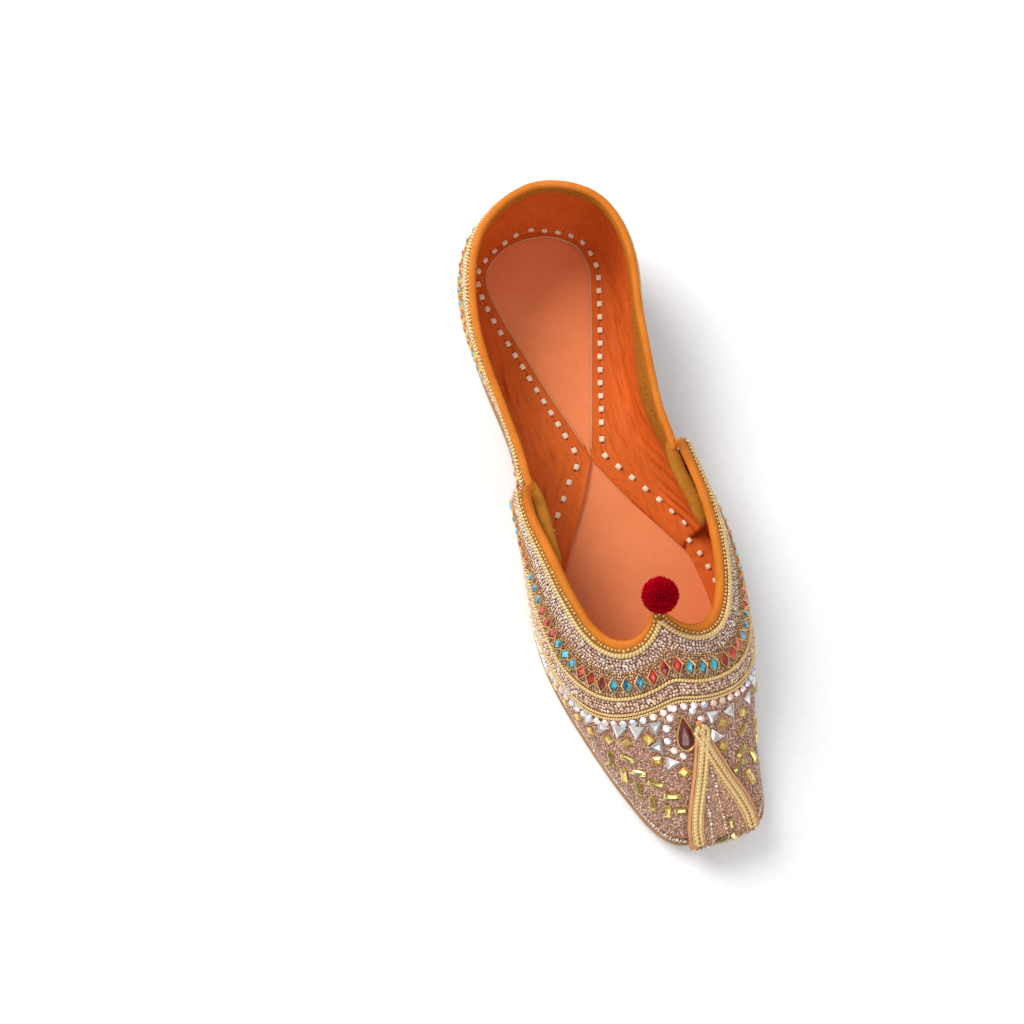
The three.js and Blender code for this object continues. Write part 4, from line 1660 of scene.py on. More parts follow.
@dataclass
class QuarterLining:
    """Lining of the counter: down the wall, round the corner and out over the footbed."""

    last: Last
    footbed: Footbed
    thickness: float = 1.0
    rows: int = 220
    wall_columns: int = 80
    corner_columns: int = 15
    floor_columns: int = 45

    def creases(self) -> list[Crease]:
        """Folds of the lining: some large, many fine ones and short ones at the front.

        Returns:
            Creases in wall station (negative on the wearer's right) and distance up from the flange's edge.
        """
        made = [Crease(*row) for row in (
            (58, 9, 122, 34, 0.5, 1.5), (50, 12, 104, 36, 0.45, 1.4), (74, 10, 130, 31, 0.5, 1.4),
            (66, 15, 98, 30, -0.3, 1.4), (42, 11, 84, 30, 0.35, 1.5), (90, 9, 134, 25, 0.4, 1.3),
            (28, 12, 52, 26, 0.3, 1.6), (84, 18, 114, 33, -0.3, 1.2), (100, 8, 128, 16, 0.4, 1.3),
            (-58, 9, -112, 33, 0.5, 1.5), (-46, 12, -92, 34, 0.4, 1.5),
            (-76, 9, -124, 30, 0.5, 1.5), (-62, 16, -96, 31, -0.3, 1.3),
            (-36, 10, -62, 25, 0.35, 1.5), (-96, 9, -132, 22, 0.4, 1.3),
            (-12, 12, -22, 30, 0.3, 1.8), (8, 12, 16, 32, 0.3, 1.8),
        )]
        random = np.random.default_rng(SEED + 4)
        for side in (-1, 1):
            for station in np.arange(10, 128, 2.0):
                start = station + random.uniform(-1.5, 1.5)
                grown = min(1.0, max(0.15, (station - 15) / 50))
                run = random.uniform(16, 40) * grown
                low = random.uniform(7, 17)
                made.append(Crease(side * start, low, side * (start + run), low + random.uniform(4, 11),
                                   random.uniform(0.2, 0.45), random.uniform(0.45, 0.75)))
            for station in np.arange(88, 138, 2.6):
                start = station + random.uniform(-1, 1)
                low = random.uniform(2.5, 5)
                made.append(Crease(side * start, low, side * (start + random.uniform(2, 6)),
                                   low + random.uniform(3, 6), random.uniform(0.15, 0.4),
                                   random.uniform(0.5, 0.8)))
        return made

    def sheet(self, s: Array, side: Array, nominal: Array) -> Array:
        """The face of the sheet that lies on the wall and the footbed.

        Args:
            s: 0 at the left front end, 1 at the right one (rows,).
            side: -1 or 1 for the side each row lies on.
            nominal: wall station of each row.

        Returns:
            Points (rows, columns, 3) from the collar down the wall, round the corner and inwards.
        """
        ends = {k: [table_column(rows, i)(nominal) for i in (1, 2)]
                for k, rows in ((1, RIGHT_FLANGE), (-1, LEFT_FLANGE))}
        end = np.stack([np.where(side > 0, right, left) for right, left in zip(ends[1], ends[-1])], 1)
        floor = self.footbed.height(nominal)
        foot = self.last.feather(nominal)
        room = self.last.collar(nominal) - foot
        inset = self.last.counter_wall - self.thickness
        corner = (floor + 3.4 - foot) / room
        v = np.linspace(0, 1, self.wall_columns)[None, :] * (corner[:, None] - 1) + 1
        wall_points = self.last.counter_point(s[:, None] + 0 * v, v, inset)
        base = self.last.counter_point(s, np.maximum(0, (floor - foot) / room), inset)
        base[:, 2] = floor + FLOOR_GAP
        target = np.stack([end[:, 1] + self.last.shift[0], self.last.shift[1] - end[:, 0],
                           self.footbed.height(end[:, 0]) + FLOOR_GAP], 1)
        inward = target - base
        length = np.linalg.norm(inward, axis=1, keepdims=True)
        landing = base + inward * np.minimum(0.45, 3.6 / length)
        t = np.linspace(0, 1, self.corner_columns + 1)[None, 1:, None]
        curve = bent(wall_points[:, -1], base, landing, t)
        u = np.linspace(0, 1, self.floor_columns + 1)[None, 1:, None]
        floor_points = landing[:, None] * (1 - u) + target[:, None] * u
        return np.concatenate([wall_points, curve, floor_points], 1)

    def upwards(self, face: Array) -> Array:
        """Normals of a grid of the sheet, turned up where it lies on the footbed."""
        normal = grid_normals(face)
        return -normal if normal[self.rows // 4, -3, 2] < 0 else normal

    def build(self) -> None:
        """Makes the lining of both sides as one sheet, with its creases, cut edge and stitches."""
        s = np.linspace(0, 1, self.rows)
        side = np.where(s < 0.5, -1.0, 1.0)
        nominal = self.last.station_at(np.abs(2 * s - 1) * self.last.share_at(COUNTER_FRONT))
        outer = self.sheet(s, side, nominal)
        normal = self.upwards(outer)
        down = np.stack([walked_length(row) for row in outer])
        up = down[:, -1:] - down
        fade = np.clip((up - 0.8) / 2.5, 0, 1) * np.clip(down / 5, 0, 1)
        right, left = (table_column(SEAM_ROWS, i)(nominal) for i in (1, 2))
        seam = np.where(side > 0, right, left)[:, None]
        sunk = 0.3 * np.exp(-(((up - seam) / 0.55) ** 2))
        curl = 0.8 * np.clip((nominal - 100) / 12, 0, 1)[:, None] * np.exp(-((up / 1.6) ** 2))
        raised = relief((side * nominal)[:, None], up, self.creases()) * fade - sunk
        inner = outer + normal * (self.thickness + raised)[..., None]
        outer = outer + normal * curl[..., None]
        inner = inner + normal * curl[..., None]
        Piece("quarter_lining", Finish.LINING, Slot.LINING, True, ("counter",)).make(wall(outer, inner))
        self.cut_edge(outer, nominal < 97)
        self.stitches(inner, up, seam[:, 0], side)

    def cut_edge(self, outer: Array, keep: Array) -> None:
        """Makes the slim upright band that shows where the flange is cut.

        Args:
            outer: grid of the sheet's lower face.
            keep: which rows have it.
        """
        rim = unit(np.gradient(outer, axis=1)[:, -1])
        lip = outer[:, -1] + rim * 0.12 + UP * (self.thickness * 0.5)
        box = np.array([[-0.3, -0.4], [0.2, -0.4], [0.34, 0.0], [0.2, 0.5], [-0.5, 0.62]])
        upright = np.broadcast_to(UP, rim.shape)
        strip = sweep(lip[keep], rim[keep], upright[keep], constant(box))
        Piece("flange_cut_edge", Finish.CUT_EDGE, Slot.LINING).make(strip)

    def stitches(self, face: Array, up: Array, seam: Array, side: Array) -> None:
        """Sews the flanges down with pale stitches in a shallow groove.

        Args:
            face: grid of the sheet's upper face (rows, columns, 3).
            up: distance of each grid point from the flange's edge.
            seam: how far from the edge each row is sewn.
            side: -1 or 1 for the side each row lies on.
        """
        columns = np.arange(face.shape[1])
        place = np.array([np.interp(-s, -u, columns) for s, u in zip(seam, up)])
        low = np.clip(place.astype(int), 0, face.shape[1] - 2)
        share = (place - low)[:, None]
        k = np.arange(len(face))
        line = face[k, low] * (1 - share) + face[k, low + 1] * share
        sewn = np.concatenate([line, self.upwards(face)[k, low]], 1)
        # From the heel the pitch is 5.6 for 19 stitches and 6.9 beyond.
        # The first stitch lies half a pitch back.
        steps = np.cumsum(np.concatenate([np.full(19, 5.6), np.full(30, 6.9)])) - 2.8
        stitches, hole_shades = [], []
        for part in (sewn[side < 0][::-1], sewn[side > 0]):
            walked = walked_length(part[:, :3])
            marks = steps[steps < walked[-1] - 2]
            spots, lifts = np.split(at_marks(part, walked, marks), 2, axis=1)
            ahead = at_marks(part[:, :3], walked, marks + 0.5)
            lifts = unit(lifts)
            frames = frames_of(ahead - spots, lifts)
            stitches.append(swarm(pillow(), spots + lifts * 0.5, frames, (1.25, 1.1, 0.62)))
            # Painted shade: a dark flat disc at each end of a stitch stands for the shadowed hole.
            for k in (-1.45, 1.45):
                hole_shades.append(swarm(ball(8, 6), spots + frames[:, 0] * k + lifts * 0.02, frames,
                                   (0.34, 0.5, 0.1)))
        Piece("flange_stitches", Finish.STITCH, Slot.STITCH).make(*stitches)
        Piece("flange_hole_shade", Finish.HOLE, Slot.LINING).make(*hole_shades)


class EdgeRow(NamedTuple):
    """Inner edge of the vamp lining's flange on the footbed."""

    station: float
    across: float


VAMP_FLANGE = tuple(EdgeRow(*row) for row in (
    (122, 11), (132, 17), (142, 23.5), (150, 26.8), (159, 28.1), (169, 28.9), (180, 28), (200, 24),
    (212, 20),
))
VAMP_FLANGE_STITCHES = tuple(EdgeRow(*row) for row in (
    (144, 28.5), (150, 30.9), (156, 32.4), (162, 33.3), (168.5, 33.5), (175, 33.2), (181.5, 32.2),
))


@dataclass
class VampFlange:
    """Lower edge of the vamp's lining, turned out over the footbed and sewn down."""

    last: Last
    footbed: Footbed
    thickness: float = 0.7
    rise: float = 5.0
    rows: int = 120

    def build(self) -> None:
        """Makes both flanges and their stitches."""
        sheets, stitches = zip(*[(self.sheet(side), self.stitches(side)) for side in (-1, 1)])
        Piece("vamp_flange", Finish.LINING, Slot.LINING, True, ("vamp",)).make(*sheets)
        Piece("vamp_flange_stitches", Finish.STITCH, Slot.STITCH).make(*stitches)

    def over_footbed(self, station: Array, across: Array, height: float) -> Array:
        """Points at a height over the footbed."""
        return np.stack([across + self.last.shift[0], self.last.shift[1] - station,
                         self.footbed.height(station) + height], 1)

    def sheet(self, side: int) -> Form:
        """The flange of one side.

        Args:
            side: -1 for the wearer's right, 1 for the left.

        Returns:
            The sheet, slightly rippled.
        """
        station = np.linspace(VAMP_FLANGE[0].station, VAMP_FLANGE[-1].station, self.rows)
        floor = self.footbed.height(station)
        share = self.last.share_at(station)
        edge = table_column(VAMP_FLANGE, 1)(station)
        top, base = (
            self.last.place(station, side * (self.last.vamp_inside(share, floor + h) - 0.05), floor + h)
            for h in (self.rise, 0.1))
        target = self.over_footbed(station, side * edge, 0.1)
        t = np.linspace(0, 1, 14)[None, :, None]
        landing = base + (target - base) * 0.3
        flat = landing[:, None] * (1 - t[:, 1:]) + target[:, None] * t[:, 1:]
        outer = np.concatenate([bent(top, base, landing, t), flat], 1)
        normal = grid_normals(outer)
        normal *= np.sign(normal[self.rows // 2, -3, 2])
        ripple = 0.12 * np.sin(station[:, None] * 0.9 + 3 * np.sin(station[:, None] * 0.21))
        return wall(outer, outer + normal * (self.thickness + ripple)[..., None])

    def stitches(self, side: int) -> Form:
        """The stitches of one side.

        Args:
            side: -1 for the wearer's right, 1 for the left.

        Returns:
            All of them as one form.
        """
        rows = np.array(VAMP_FLANGE_STITCHES, float)
        spot = self.over_footbed(rows[:, 0], side * rows[:, 1], self.thickness + 0.45)
        along = unit(np.gradient(spot, axis=0))
        up = np.broadcast_to(UP, spot.shape)
        return swarm(pillow(), spot, np.stack([along, np.cross(up, along), up], 1), (1.1, 1.0, 0.55))


def pillow() -> Form:
    """A small cushion: a box with puffed faces.

    Returns:
        The cushion, about 2 wide each way.
    """
    sides = 12
    turns = np.linspace(0, 2 * np.pi, sides + 1)[:-1] + np.pi / sides
    box = np.sign(headings(turns)) * np.abs(headings(turns)) ** 0.45
    rings = levelled(box, ((0.8, -1.0), (1.0, -0.3), (0.95, 0.4), (0.7, 0.85), (0.3, 1.0)))
    return stacked(rings, np.array([0, 0, -1.0]), np.array([0, 0, 1.03]))


@dataclass
class Counter:
    """Cloth wall round the heel with a suede facing inside its collar."""

    last: Last
    skin: Skin
    facing_depth: float = 14.5
    facing_place: float = 0.9
    seam_share: float = 0.41
    cloth: float = 0.5
    rows: int = 300

    def build(self) -> None:
        """Makes the cloth and the facing."""
        xs = np.linspace(self.skin.xs[0], self.skin.xs[-1], self.rows)
        depth = np.linspace(0, 1, 30)[None, :] * self.skin.reach(xs)[:, None]
        flat = np.stack([xs[:, None] + 0 * depth, depth], -1)
        outer, inner = (self.skin.within_grid(flat, d) for d in (0.0, self.cloth))
        Piece("counter_cloth", Finish.GROUND, Slot.CLOTH, True, ("counter",)).make(wall(outer, inner))
        self.facing(xs)

    def facing(self, xs: Array) -> None:
        """Makes the suede strip that lines the collar, sewn along its middle.

        Args:
            xs: first coordinates of its rows.
        """
        share = np.linspace(-0.03, 1, 26)[None, :]
        reach = self.facing_reach(xs)[:, None]
        depth = share * reach
        flat = np.stack(np.broadcast_arrays(xs[:, None], depth), -1)
        base = self.skin.within_grid(flat, self.facing_place)
        outwards = self.skin.at(flat.reshape(-1, 2))[1].reshape(base.shape)
        groove = 0.32 * np.exp(-(((depth - self.seam_share * reach) / 0.7) ** 2))
        puff = 0.75 + 0.3 * np.sin(np.pi * np.clip(share, 0, 1)) ** 0.5 - groove
        puff = puff + 0.07 * np.sin(xs[:, None] * 1.9 + depth * 1.3)
        form = wall(base, base - outwards * puff[..., None])
        Piece("collar_facing", Finish.FACING, Slot.LINING).make(form)
        sewn = xs[::2]
        line = np.stack([sewn, self.seam_share * self.facing_reach(sewn)], 1)
        flat, direction = spaced(line, 2.1)
        frames = self.skin.frames(flat, direction)[1]
        point = self.skin.within(flat, self.facing_place) - frames[:, 2] * 0.88
        Piece("facing_stitches", Finish.FACING, Slot.STITCH).make(
            swarm(pillow(), point, frames * [[1], [-1], [-1]], (0.75, 0.3, 0.28)))

    def facing_reach(self, x: Array) -> Array:
        """Depth of the facing, slim round the heel and deeper towards the front."""
        return np.interp(np.abs(x - self.skin.x_of(0.5)), (20, 80, 115), (4.4, 8.5, self.facing_depth))


def nearest(spots: Array, others: Array) -> Array:
    """Distance from each spot to the nearest of the others."""
    return np.linalg.norm(spots[:, None] - others[None], axis=2).min(1)


def eased(line: Array, width: float) -> Array:
    """A flat path rid of its kinks.

    Args:
        line: flat path (n, 2).
        width: length over which it is evened out.

    Returns:
        The smoother path, with the same ends.
    """
    step = 0.5
    fine = spaced(line, step)[0]
    reach = max(1, int(round(3 * width / step)))
    weights = np.exp(-0.5 * (np.arange(-reach, reach + 1) * step / width) ** 2)
    weights /= weights.sum()
    padded = np.concatenate([
        2 * fine[:1] - fine[reach:0:-1], fine, 2 * fine[-1:] - fine[-2:-reach - 2:-1]])
    return np.stack([np.convolve(padded[:, i], weights, "valid") for i in (0, 1)], 1)


@dataclass
class Vamp:
    """Cloth and lining over the forefoot, with the lobed throat."""

    last: Last
    skin: Skin

    def __post_init__(self) -> None:
        """Lays the throat out flat, from one wing tip over the peak to the other."""
        right = np.array([(row.station, row.lean - row.half) for row in THROAT], float)
        left = np.array([(row.station + row.drop, row.lean + row.half) for row in THROAT[-2::-1]], float)
        curve = curve_through(np.concatenate([right, left]), False, 30)
        even = spaced(curve, walked_length(curve)[-1] / 520)[0]
        even = np.concatenate([curve[:1], even, curve[-1:]])
        share = self.last.share_at(even[:, 0])
        t = np.linspace(0, 0.75, 200)
        _, across, height = self.last.half_section(share[:, None], t[None, :] + 0 * share[:, None], 0.0)
        y = np.array([np.interp(abs(half), reached, girth) for half, reached, girth in zip(
            even[:, 1], across, section_girth(across, height))])
        x = self.skin.x_of(self.last.edge(share, self.last.margin)[0])
        self.throat = np.stack([x, np.sign(even[:, 1]) * y], 1)
        rear = self.last.share_at(self.last.wing_bottom)
        along = 1 - np.abs(2 * np.linspace(0, 1, len(x)) - 1)
        foot_share = rear + (1 - rear) * along
        foot_x = self.skin.x_of(self.last.edge(foot_share, self.last.margin)[0])
        side = np.where(np.arange(len(x)) < len(x) / 2, -1.0, 1.0)
        self.foot = np.stack([foot_x, side * self.skin.reach(foot_x)], 1)

    def offset(self, distance: float) -> Array:
        """The throat line moved outwards, its inner corner eased.

        Args:
            distance: how far from the throat.

        Returns:
            Flat path from wing to wing.
        """
        ends = [self.throat[k] + unit(self.throat[k] - self.throat[j]) * np.linspace(1, 14, 14)[:, None]
                for k, j in ((0, 6), (-1, -7))]
        line = np.concatenate([ends[0][::-1], self.throat, ends[1]])
        tangent = unit(np.gradient(line, axis=0))
        moved = line + np.stack([tangent[:, 1], -tangent[:, 0]], 1) * distance
        moved = moved[nearest(moved, line[::2]) > distance - 0.12]
        moved = eased(moved, 0.12 * distance)
        reach = self.skin.reach(moved[:, 0])
        return moved[(self.from_wings(moved) > 0.6) & (np.abs(moved[:, 1]) < reach - 2.0)]

    def from_wings(self, flat: Array) -> Array:
        """Distance in front of the wings' rear edges.

        Args:
            flat: flat spots (n, 2).

        Returns:
            The distances, below 0 behind the edges.
        """
        start, end = self.throat[-1], self.foot[-1]
        direction = unit(end - start)
        away = np.stack([flat[:, 0], np.abs(flat[:, 1])], 1) - start
        return away[:, 0] * direction[1] - away[:, 1] * direction[0]

    def covered(self, flat: Array) -> Array:
        """Whether flat spots lie on the vamp and not in its opening.

        Args:
            flat: flat spots (n, 2).

        Returns:
            True for each spot on the vamp.
        """
        count = len(self.throat)
        over = flat[:, 0] > self.throat[:, 0].max()
        for part, side in ((self.throat[: count // 2], -1), (self.throat[count // 2:][::-1], 1)):
            outer = part[: part[:, 0].argmax()]
            over |= side * flat[:, 1] > np.interp(flat[:, 0], outer[:, 0], side * outer[:, 1])
        return over

    def under(self, station: float, across: float) -> Array:
        """Flat coordinates of the highest point over a spot of the sole."""
        shift = self.last.shift
        return self.skin.under(np.array([across + shift[0], shift[1] - station]))

    def from_throat(self, flat: Array) -> Array:
        """Distance of flat spots from the throat line, worked out in batches."""
        return np.concatenate([nearest(part, self.throat[::3])
                               for part in np.array_split(flat, max(1, len(flat) // 800))])

    def build(self) -> None:
        """Makes the cloth and its lining."""
        v = np.linspace(0, 1, 40)[None, :, None]
        pick = np.linspace(0, len(self.throat) - 1, 260).round().astype(int)
        flat = self.throat[pick][:, None] * (1 - v) + self.foot[pick][:, None] * v
        grids = [self.skin.within_grid(flat, depth) for depth in (0.0, 0.42, 0.45, 1.0)]
        Piece("vamp_cloth", Finish.GROUND, Slot.CLOTH, True, ("vamp",)).make(wall(*grids[:2]))
        Piece("vamp_lining", Finish.LINING, Slot.LINING, True, ("vamp",)).make(wall(*grids[2:]))


@dataclass
class Binding:
    """Leather strip rolled over a rim."""

    name: str
    stands_for: str
    outer: Array
    inner: Array
    below: Array
    half_width: float = 1.62
    half_height: float = 1.7
    lift: float = 1.05
    inwards: float = 0.0
    hook: float = 0.0
    taper: float = 2.0
    finish: Finish = Finish.BINDING

    def build(self) -> None:
        """Makes the roll, its tips hooked inwards where asked."""
        middle = (self.outer + self.inner) / 2
        across = unit(self.outer - self.inner)
        away = level_with(middle - self.below, across)
        walked = walked_length(middle)
        tip = np.clip(1 - np.minimum(walked, walked[-1] - walked) / 8.0, 0, 1)[:, None]
        centre = middle + away * self.lift - across * (self.inwards + self.hook * tip**2)
        around = headings(2 * np.pi * np.arange(18) / 18)
        ring = np.sign(around) * np.abs(around) ** (0.8, 0.85) * (self.half_width, self.half_height)
        total = walked_length(centre)[-1]

        def section(walked: Array) -> Array:
            """Soft-cornered section that closes in at both ends and swells a little along the rim.

            Args:
                walked: length walked from the start.

            Returns:
                Offsets (n, 18, 2).
            """
            near = np.minimum(walked, total - walked)
            close = np.sqrt(1 - (1 - np.clip(near / self.taper, 0.02, 1)) ** 2)
            swell = 1 + 0.025 * np.sin(walked * 0.8) + 0.02 * np.sin(walked * 2.3 + 1)
            return ring[None] * (close * swell)[:, None, None]

        slot = Slot.BINDING if self.finish is Finish.BINDING else Slot.LINING
        form = sweep(centre, across, away, section)
        Piece(self.name, self.finish, slot, True, (self.stands_for,)).make(form)


def lozenge(length: float, width: float) -> Array:
    """Rhomb with its length along the second direction."""
    return np.array([[width / 2, 0], [0, length / 2], [-width / 2, 0], [0, -length / 2]])


def baguette(length: float, width: float) -> Array:
    """Rectangle with small cut corners.

    Args:
        length: length along the first direction.
        width: width along the second.

    Returns:
        Corners (8, 2), anticlockwise.
    """
    a, b, c = length / 2, width / 2, width * 0.16
    return np.array([[a, -b + c], [a, b - c], [a - c, b], [-a + c, b],
                     [-a, b - c], [-a, -b + c], [-a + c, -b], [a - c, -b]])


def drop(length: float, width: float, corners: int = 22) -> Array:
    """Teardrop outline whose point looks along the first direction."""
    turn = 2 * np.pi * np.arange(corners) / corners
    return np.stack([np.cos(turn) * length / 2, np.sin(turn) * np.sin(turn / 2) ** 1.3 * width * 0.62], 1)


# Bands of seed beads: name, finish, slot, pitch, and the distance and bead size of each row.
BEAD_BANDS = (
    ("white_beads", Finish.WHITE_BEADS, Slot.BEADS, 1.3,
     ((4.4, 1.3), (5.5, 1.2), (6.6, 1.3), (7.7, 1.15), (8.6, 1.1))),
    ("pink_beads", Finish.PINK_BEADS, Slot.BEADS, 1.24,
     ((20.3, 1.3), (21.4, 1.35), (22.5, 1.35), (23.6, 1.25))),
    ("gold_beads", Finish.GOLD_BEADS, Slot.GOLD, 1.1, ((9.5, 1.0), (17.7, 1.0))),
)
# Turn that lays a flat side of an eight-sided crystal across its row.
CRYSTAL_TURN = 0.39
# Room that a listed ornament keeps free of those set in rows.
ORNAMENT_ROOM = 5.6


@dataclass
class Bands:
    """The beaded bands that follow an edge, the same on vamp and counter.

    line gives the flat path at a distance from the edge.
    """

    part: str
    bench: Bench
    line: Callable[[float], Array]
    placed: dict[str, tuple[Array, Array]] = field(default_factory=dict)

    def make(self, name: str, finish: Finish, slot: Slot, *forms: Form, smooth: bool = True) -> None:
        """Makes one piece out of several forms."""
        Piece(f"{self.part}_{name}", finish, slot, smooth).make(*forms)

    def build(self) -> None:
        """Makes every band from the edge outwards."""
        bench, line = self.bench, self.line
        self.make("edge_suede", Finish.FACING, Slot.BINDING, bench.ribbon(line(1.7), 2.0, 0.22))
        self.make("gold_whipping", Finish.GOLD_CORD, Slot.GOLD,
                  bench.beads(line(0.9), 1.15, 1.5), bench.whip(line(2.7), 2.0, 1.35, 0.9),
                  bench.whip(line(18.9), 1.7, 1.3), bench.whip(line(25.1), 1.3, 1.1),
                  bench.whip(line(26.4), 1.3, 1.1))
        for name, finish, slot, pitch, rows in BEAD_BANDS:
            self.make(name, finish, slot, *[bench.beads(line(d), size, pitch) for d, size in rows])
        self.stones()
        self.round_stones(28.3, 1.45, 3.9)
        self.mirrors()

    def round_stones(self, distance: float, radius: float, pitch: float) -> None:
        """Makes a row of round cut crystals.

        Args:
            distance: which line.
            radius: radius of a crystal.
            pitch: distance from crystal to crystal.
        """
        flat, direction = spaced(self.line(distance), pitch)
        form = cut_stone(regular(8, radius, CRYSTAL_TURN), radius * 0.75)
        self.make("crystals", Finish.CRYSTALS, Slot.STONES,
                  self.bench.set_at(form, flat, direction, 0.2), smooth=False)

    def stones(self) -> None:
        """Pointed stones in collets, three red and three turquoise in turn, on a bed of small beads."""
        flat, direction = spaced(self.line(13.7), 4.9)
        smooth = unit(np.stack([np.convolve(np.pad(direction[:, i], 4, "edge"), np.ones(9), "valid")
                                for i in (0, 1)], 1))
        order = np.arange(len(flat)) - len(flat) // 2
        red = ((order + 2) // 3) % 2 == 0
        outline = lozenge(6.6, 3.5)
        stone = cut_stone(outline, 1.5, 0.36, 0.3)
        for name, finish, chosen in (("red_stones", Finish.RED_STONE, red),
                                     ("blue_stones", Finish.BLUE_STONE, ~red)):
            self.make(name, finish, Slot.STONES,
                      self.bench.set_at(stone, flat[chosen], smooth[chosen], 0.35), smooth=False)
        rims = self.bench.set_at(collet(outline, 0.72, 1.3), flat, smooth, 0.0, tilt=0.0)
        self.make("collets", Finish.COLLET, Slot.GILT, rims, smooth=False)
        bed = [self.bench.beads(self.line(d), 1.0, 1.1) for d in (10.5, 11.6, 12.7, 15.0, 16.1, 17.0)]
        self.make("stone_bed", Finish.BRONZE_BEADS, Slot.BEADS, *bed)

    def mirrors(self) -> None:
        """Silvered triangles that point away from the edge, with gilt squares between their points."""
        triangle = np.array([[-2.1, -2.7], [2.9, 0.0], [-2.1, 2.7]])
        square = regular(4, 2.2)
        for kind, distance, start, stone, rim, names, finishes, slot in (
                ("triangles", 31.6, 0.5, cut_stone(triangle * 0.92, 0.9, 0.45, 0.5),
                 collet(triangle * 0.94, 0.6, 0.9), ("mirrors", "mirror_rims"),
                 (Finish.MIRROR, Finish.SILVER), Slot.MIRROR),
                ("squares", 35.2, 1.0, cut_stone(square, 1.0, 0.5, 0.3),
                 collet(square * 1.02, 0.3, 0.75), ("gilt_squares", "gilt_square_rims"),
                 (Finish.GILT, Finish.COLLET), Slot.GILT)):
            flat, out = self.row(distance, 7.6, start, kind)
            self.make(names[0], finishes[0], slot,
                      self.bench.set_at(stone, flat, out, 0.1, tilt=0.12), smooth=False)
            self.make(names[1], finishes[1], slot,
                      self.bench.set_at(rim, flat, out, 0.0, tilt=0.0), smooth=False)

    def row(self, distance: float, pitch: float, start: float, kind: str) -> tuple[Array, Array]:
        """Places along a line with the listed ones of the same kind instead of those near them.

        Args:
            distance: which line.
            pitch: distance from place to place.
            start: where the first lies, as a share of the pitch.
            kind: name of the listed ones.

        Returns:
            Flat spots and directions outwards.
        """
        line = self.line(distance)
        flat, direction = spaced(line, pitch, start * 0.98)
        out = np.stack([direction[:, 1], -direction[:, 0]], 1)
        if not self.placed:
            return flat, out
        own, turned = self.placed[kind]
        taken = np.concatenate([spots for spots, _ in self.placed.values()])
        free = nearest(flat, taken) > ORNAMENT_ROOM
        return np.concatenate([flat[free], own]), np.concatenate([out[free], turned])


@dataclass
class Field:
    """Ground between the bands and the sole: coiled thread, baguettes and a border of small beads."""

    part: str
    bench: Bench
    spots: Array
    stones: Array
    turns: Array
    border: list[Array]

    def build(self) -> None:
        """Makes the ground's trim."""
        bench, random = self.bench, self.bench.random
        count = len(self.spots)
        angle = random.uniform(0, np.pi, count)
        size = random.uniform(0.85, 1.25, (count, 1)) * (0.72, 0.32, 0.3)
        Piece(f"{self.part}_coils", Finish.COILS, Slot.CLOTH).make(
            bench.set_at(ball(5, 3), self.spots, headings(angle), 0.12, size, 0.4))
        direction = headings(self.turns)
        size = random.uniform(0.9, 1.1, (len(self.stones), 1)) * np.ones(3)
        outline = baguette(5.4, 2.1)
        Piece(f"{self.part}_baguettes", Finish.OLIVE_GILT, Slot.GILT, False).make(
            bench.set_at(cut_stone(outline, 1.2, 0.55, 0.45), self.stones, direction, 0.15, size))
        Piece(f"{self.part}_baguette_rims", Finish.GILT, Slot.GILT, False).make(
            bench.set_at(collet(outline, 0.34, 0.85), self.stones, direction, 0.05, size))
        Piece(f"{self.part}_border", Finish.WHITE_BEADS, Slot.BEADS).make(
            *[bench.beads(line, 1.3, 1.45) for line in self.border])


def scattered(random: np.random.Generator, low: Array, high: Array, pitch: float, loose: float) -> Array:
    """Spots of a loose triangular grid over a rectangle.

    Args:
        random: where the draws come from.
        low: one corner (2,).
        high: the opposite corner (2,).
        pitch: distance from spot to spot.
        loose: largest move of a spot, as a share of the pitch.

    Returns:
        The spots (n, 2).
    """
    xs = np.arange(low[0], high[0], pitch)
    ys = np.arange(low[1], high[1], pitch * 0.87)
    grid = np.stack(np.meshgrid(xs, ys), -1)
    grid[1::2, :, 0] += pitch / 2
    return grid.reshape(-1, 2) + random.uniform(-loose, loose, (grid.size // 2, 2)) * pitch


class Spread(NamedTuple):
    """How trim is scattered over a field, and how far it keeps from the sole and from the banded edge."""

    pitch: float
    loose: float
    margin: float
    start: float


VAMP_SPREADS = (Spread(0.98, 0.35, 4.0, 29.5), Spread(7.3, 0.12, 6.5, 39.5))
COUNTER_SPREADS = (Spread(1.0, 0.35, 2.6, 30.0), Spread(7.3, 0.12, 4.0, 39.0))


class Ornament(NamedTuple):
    """Place of a toe ornament and the turn of its length from straight ahead towards +X, in degrees."""

    station: float
    across: float
    turn: float = -15.0


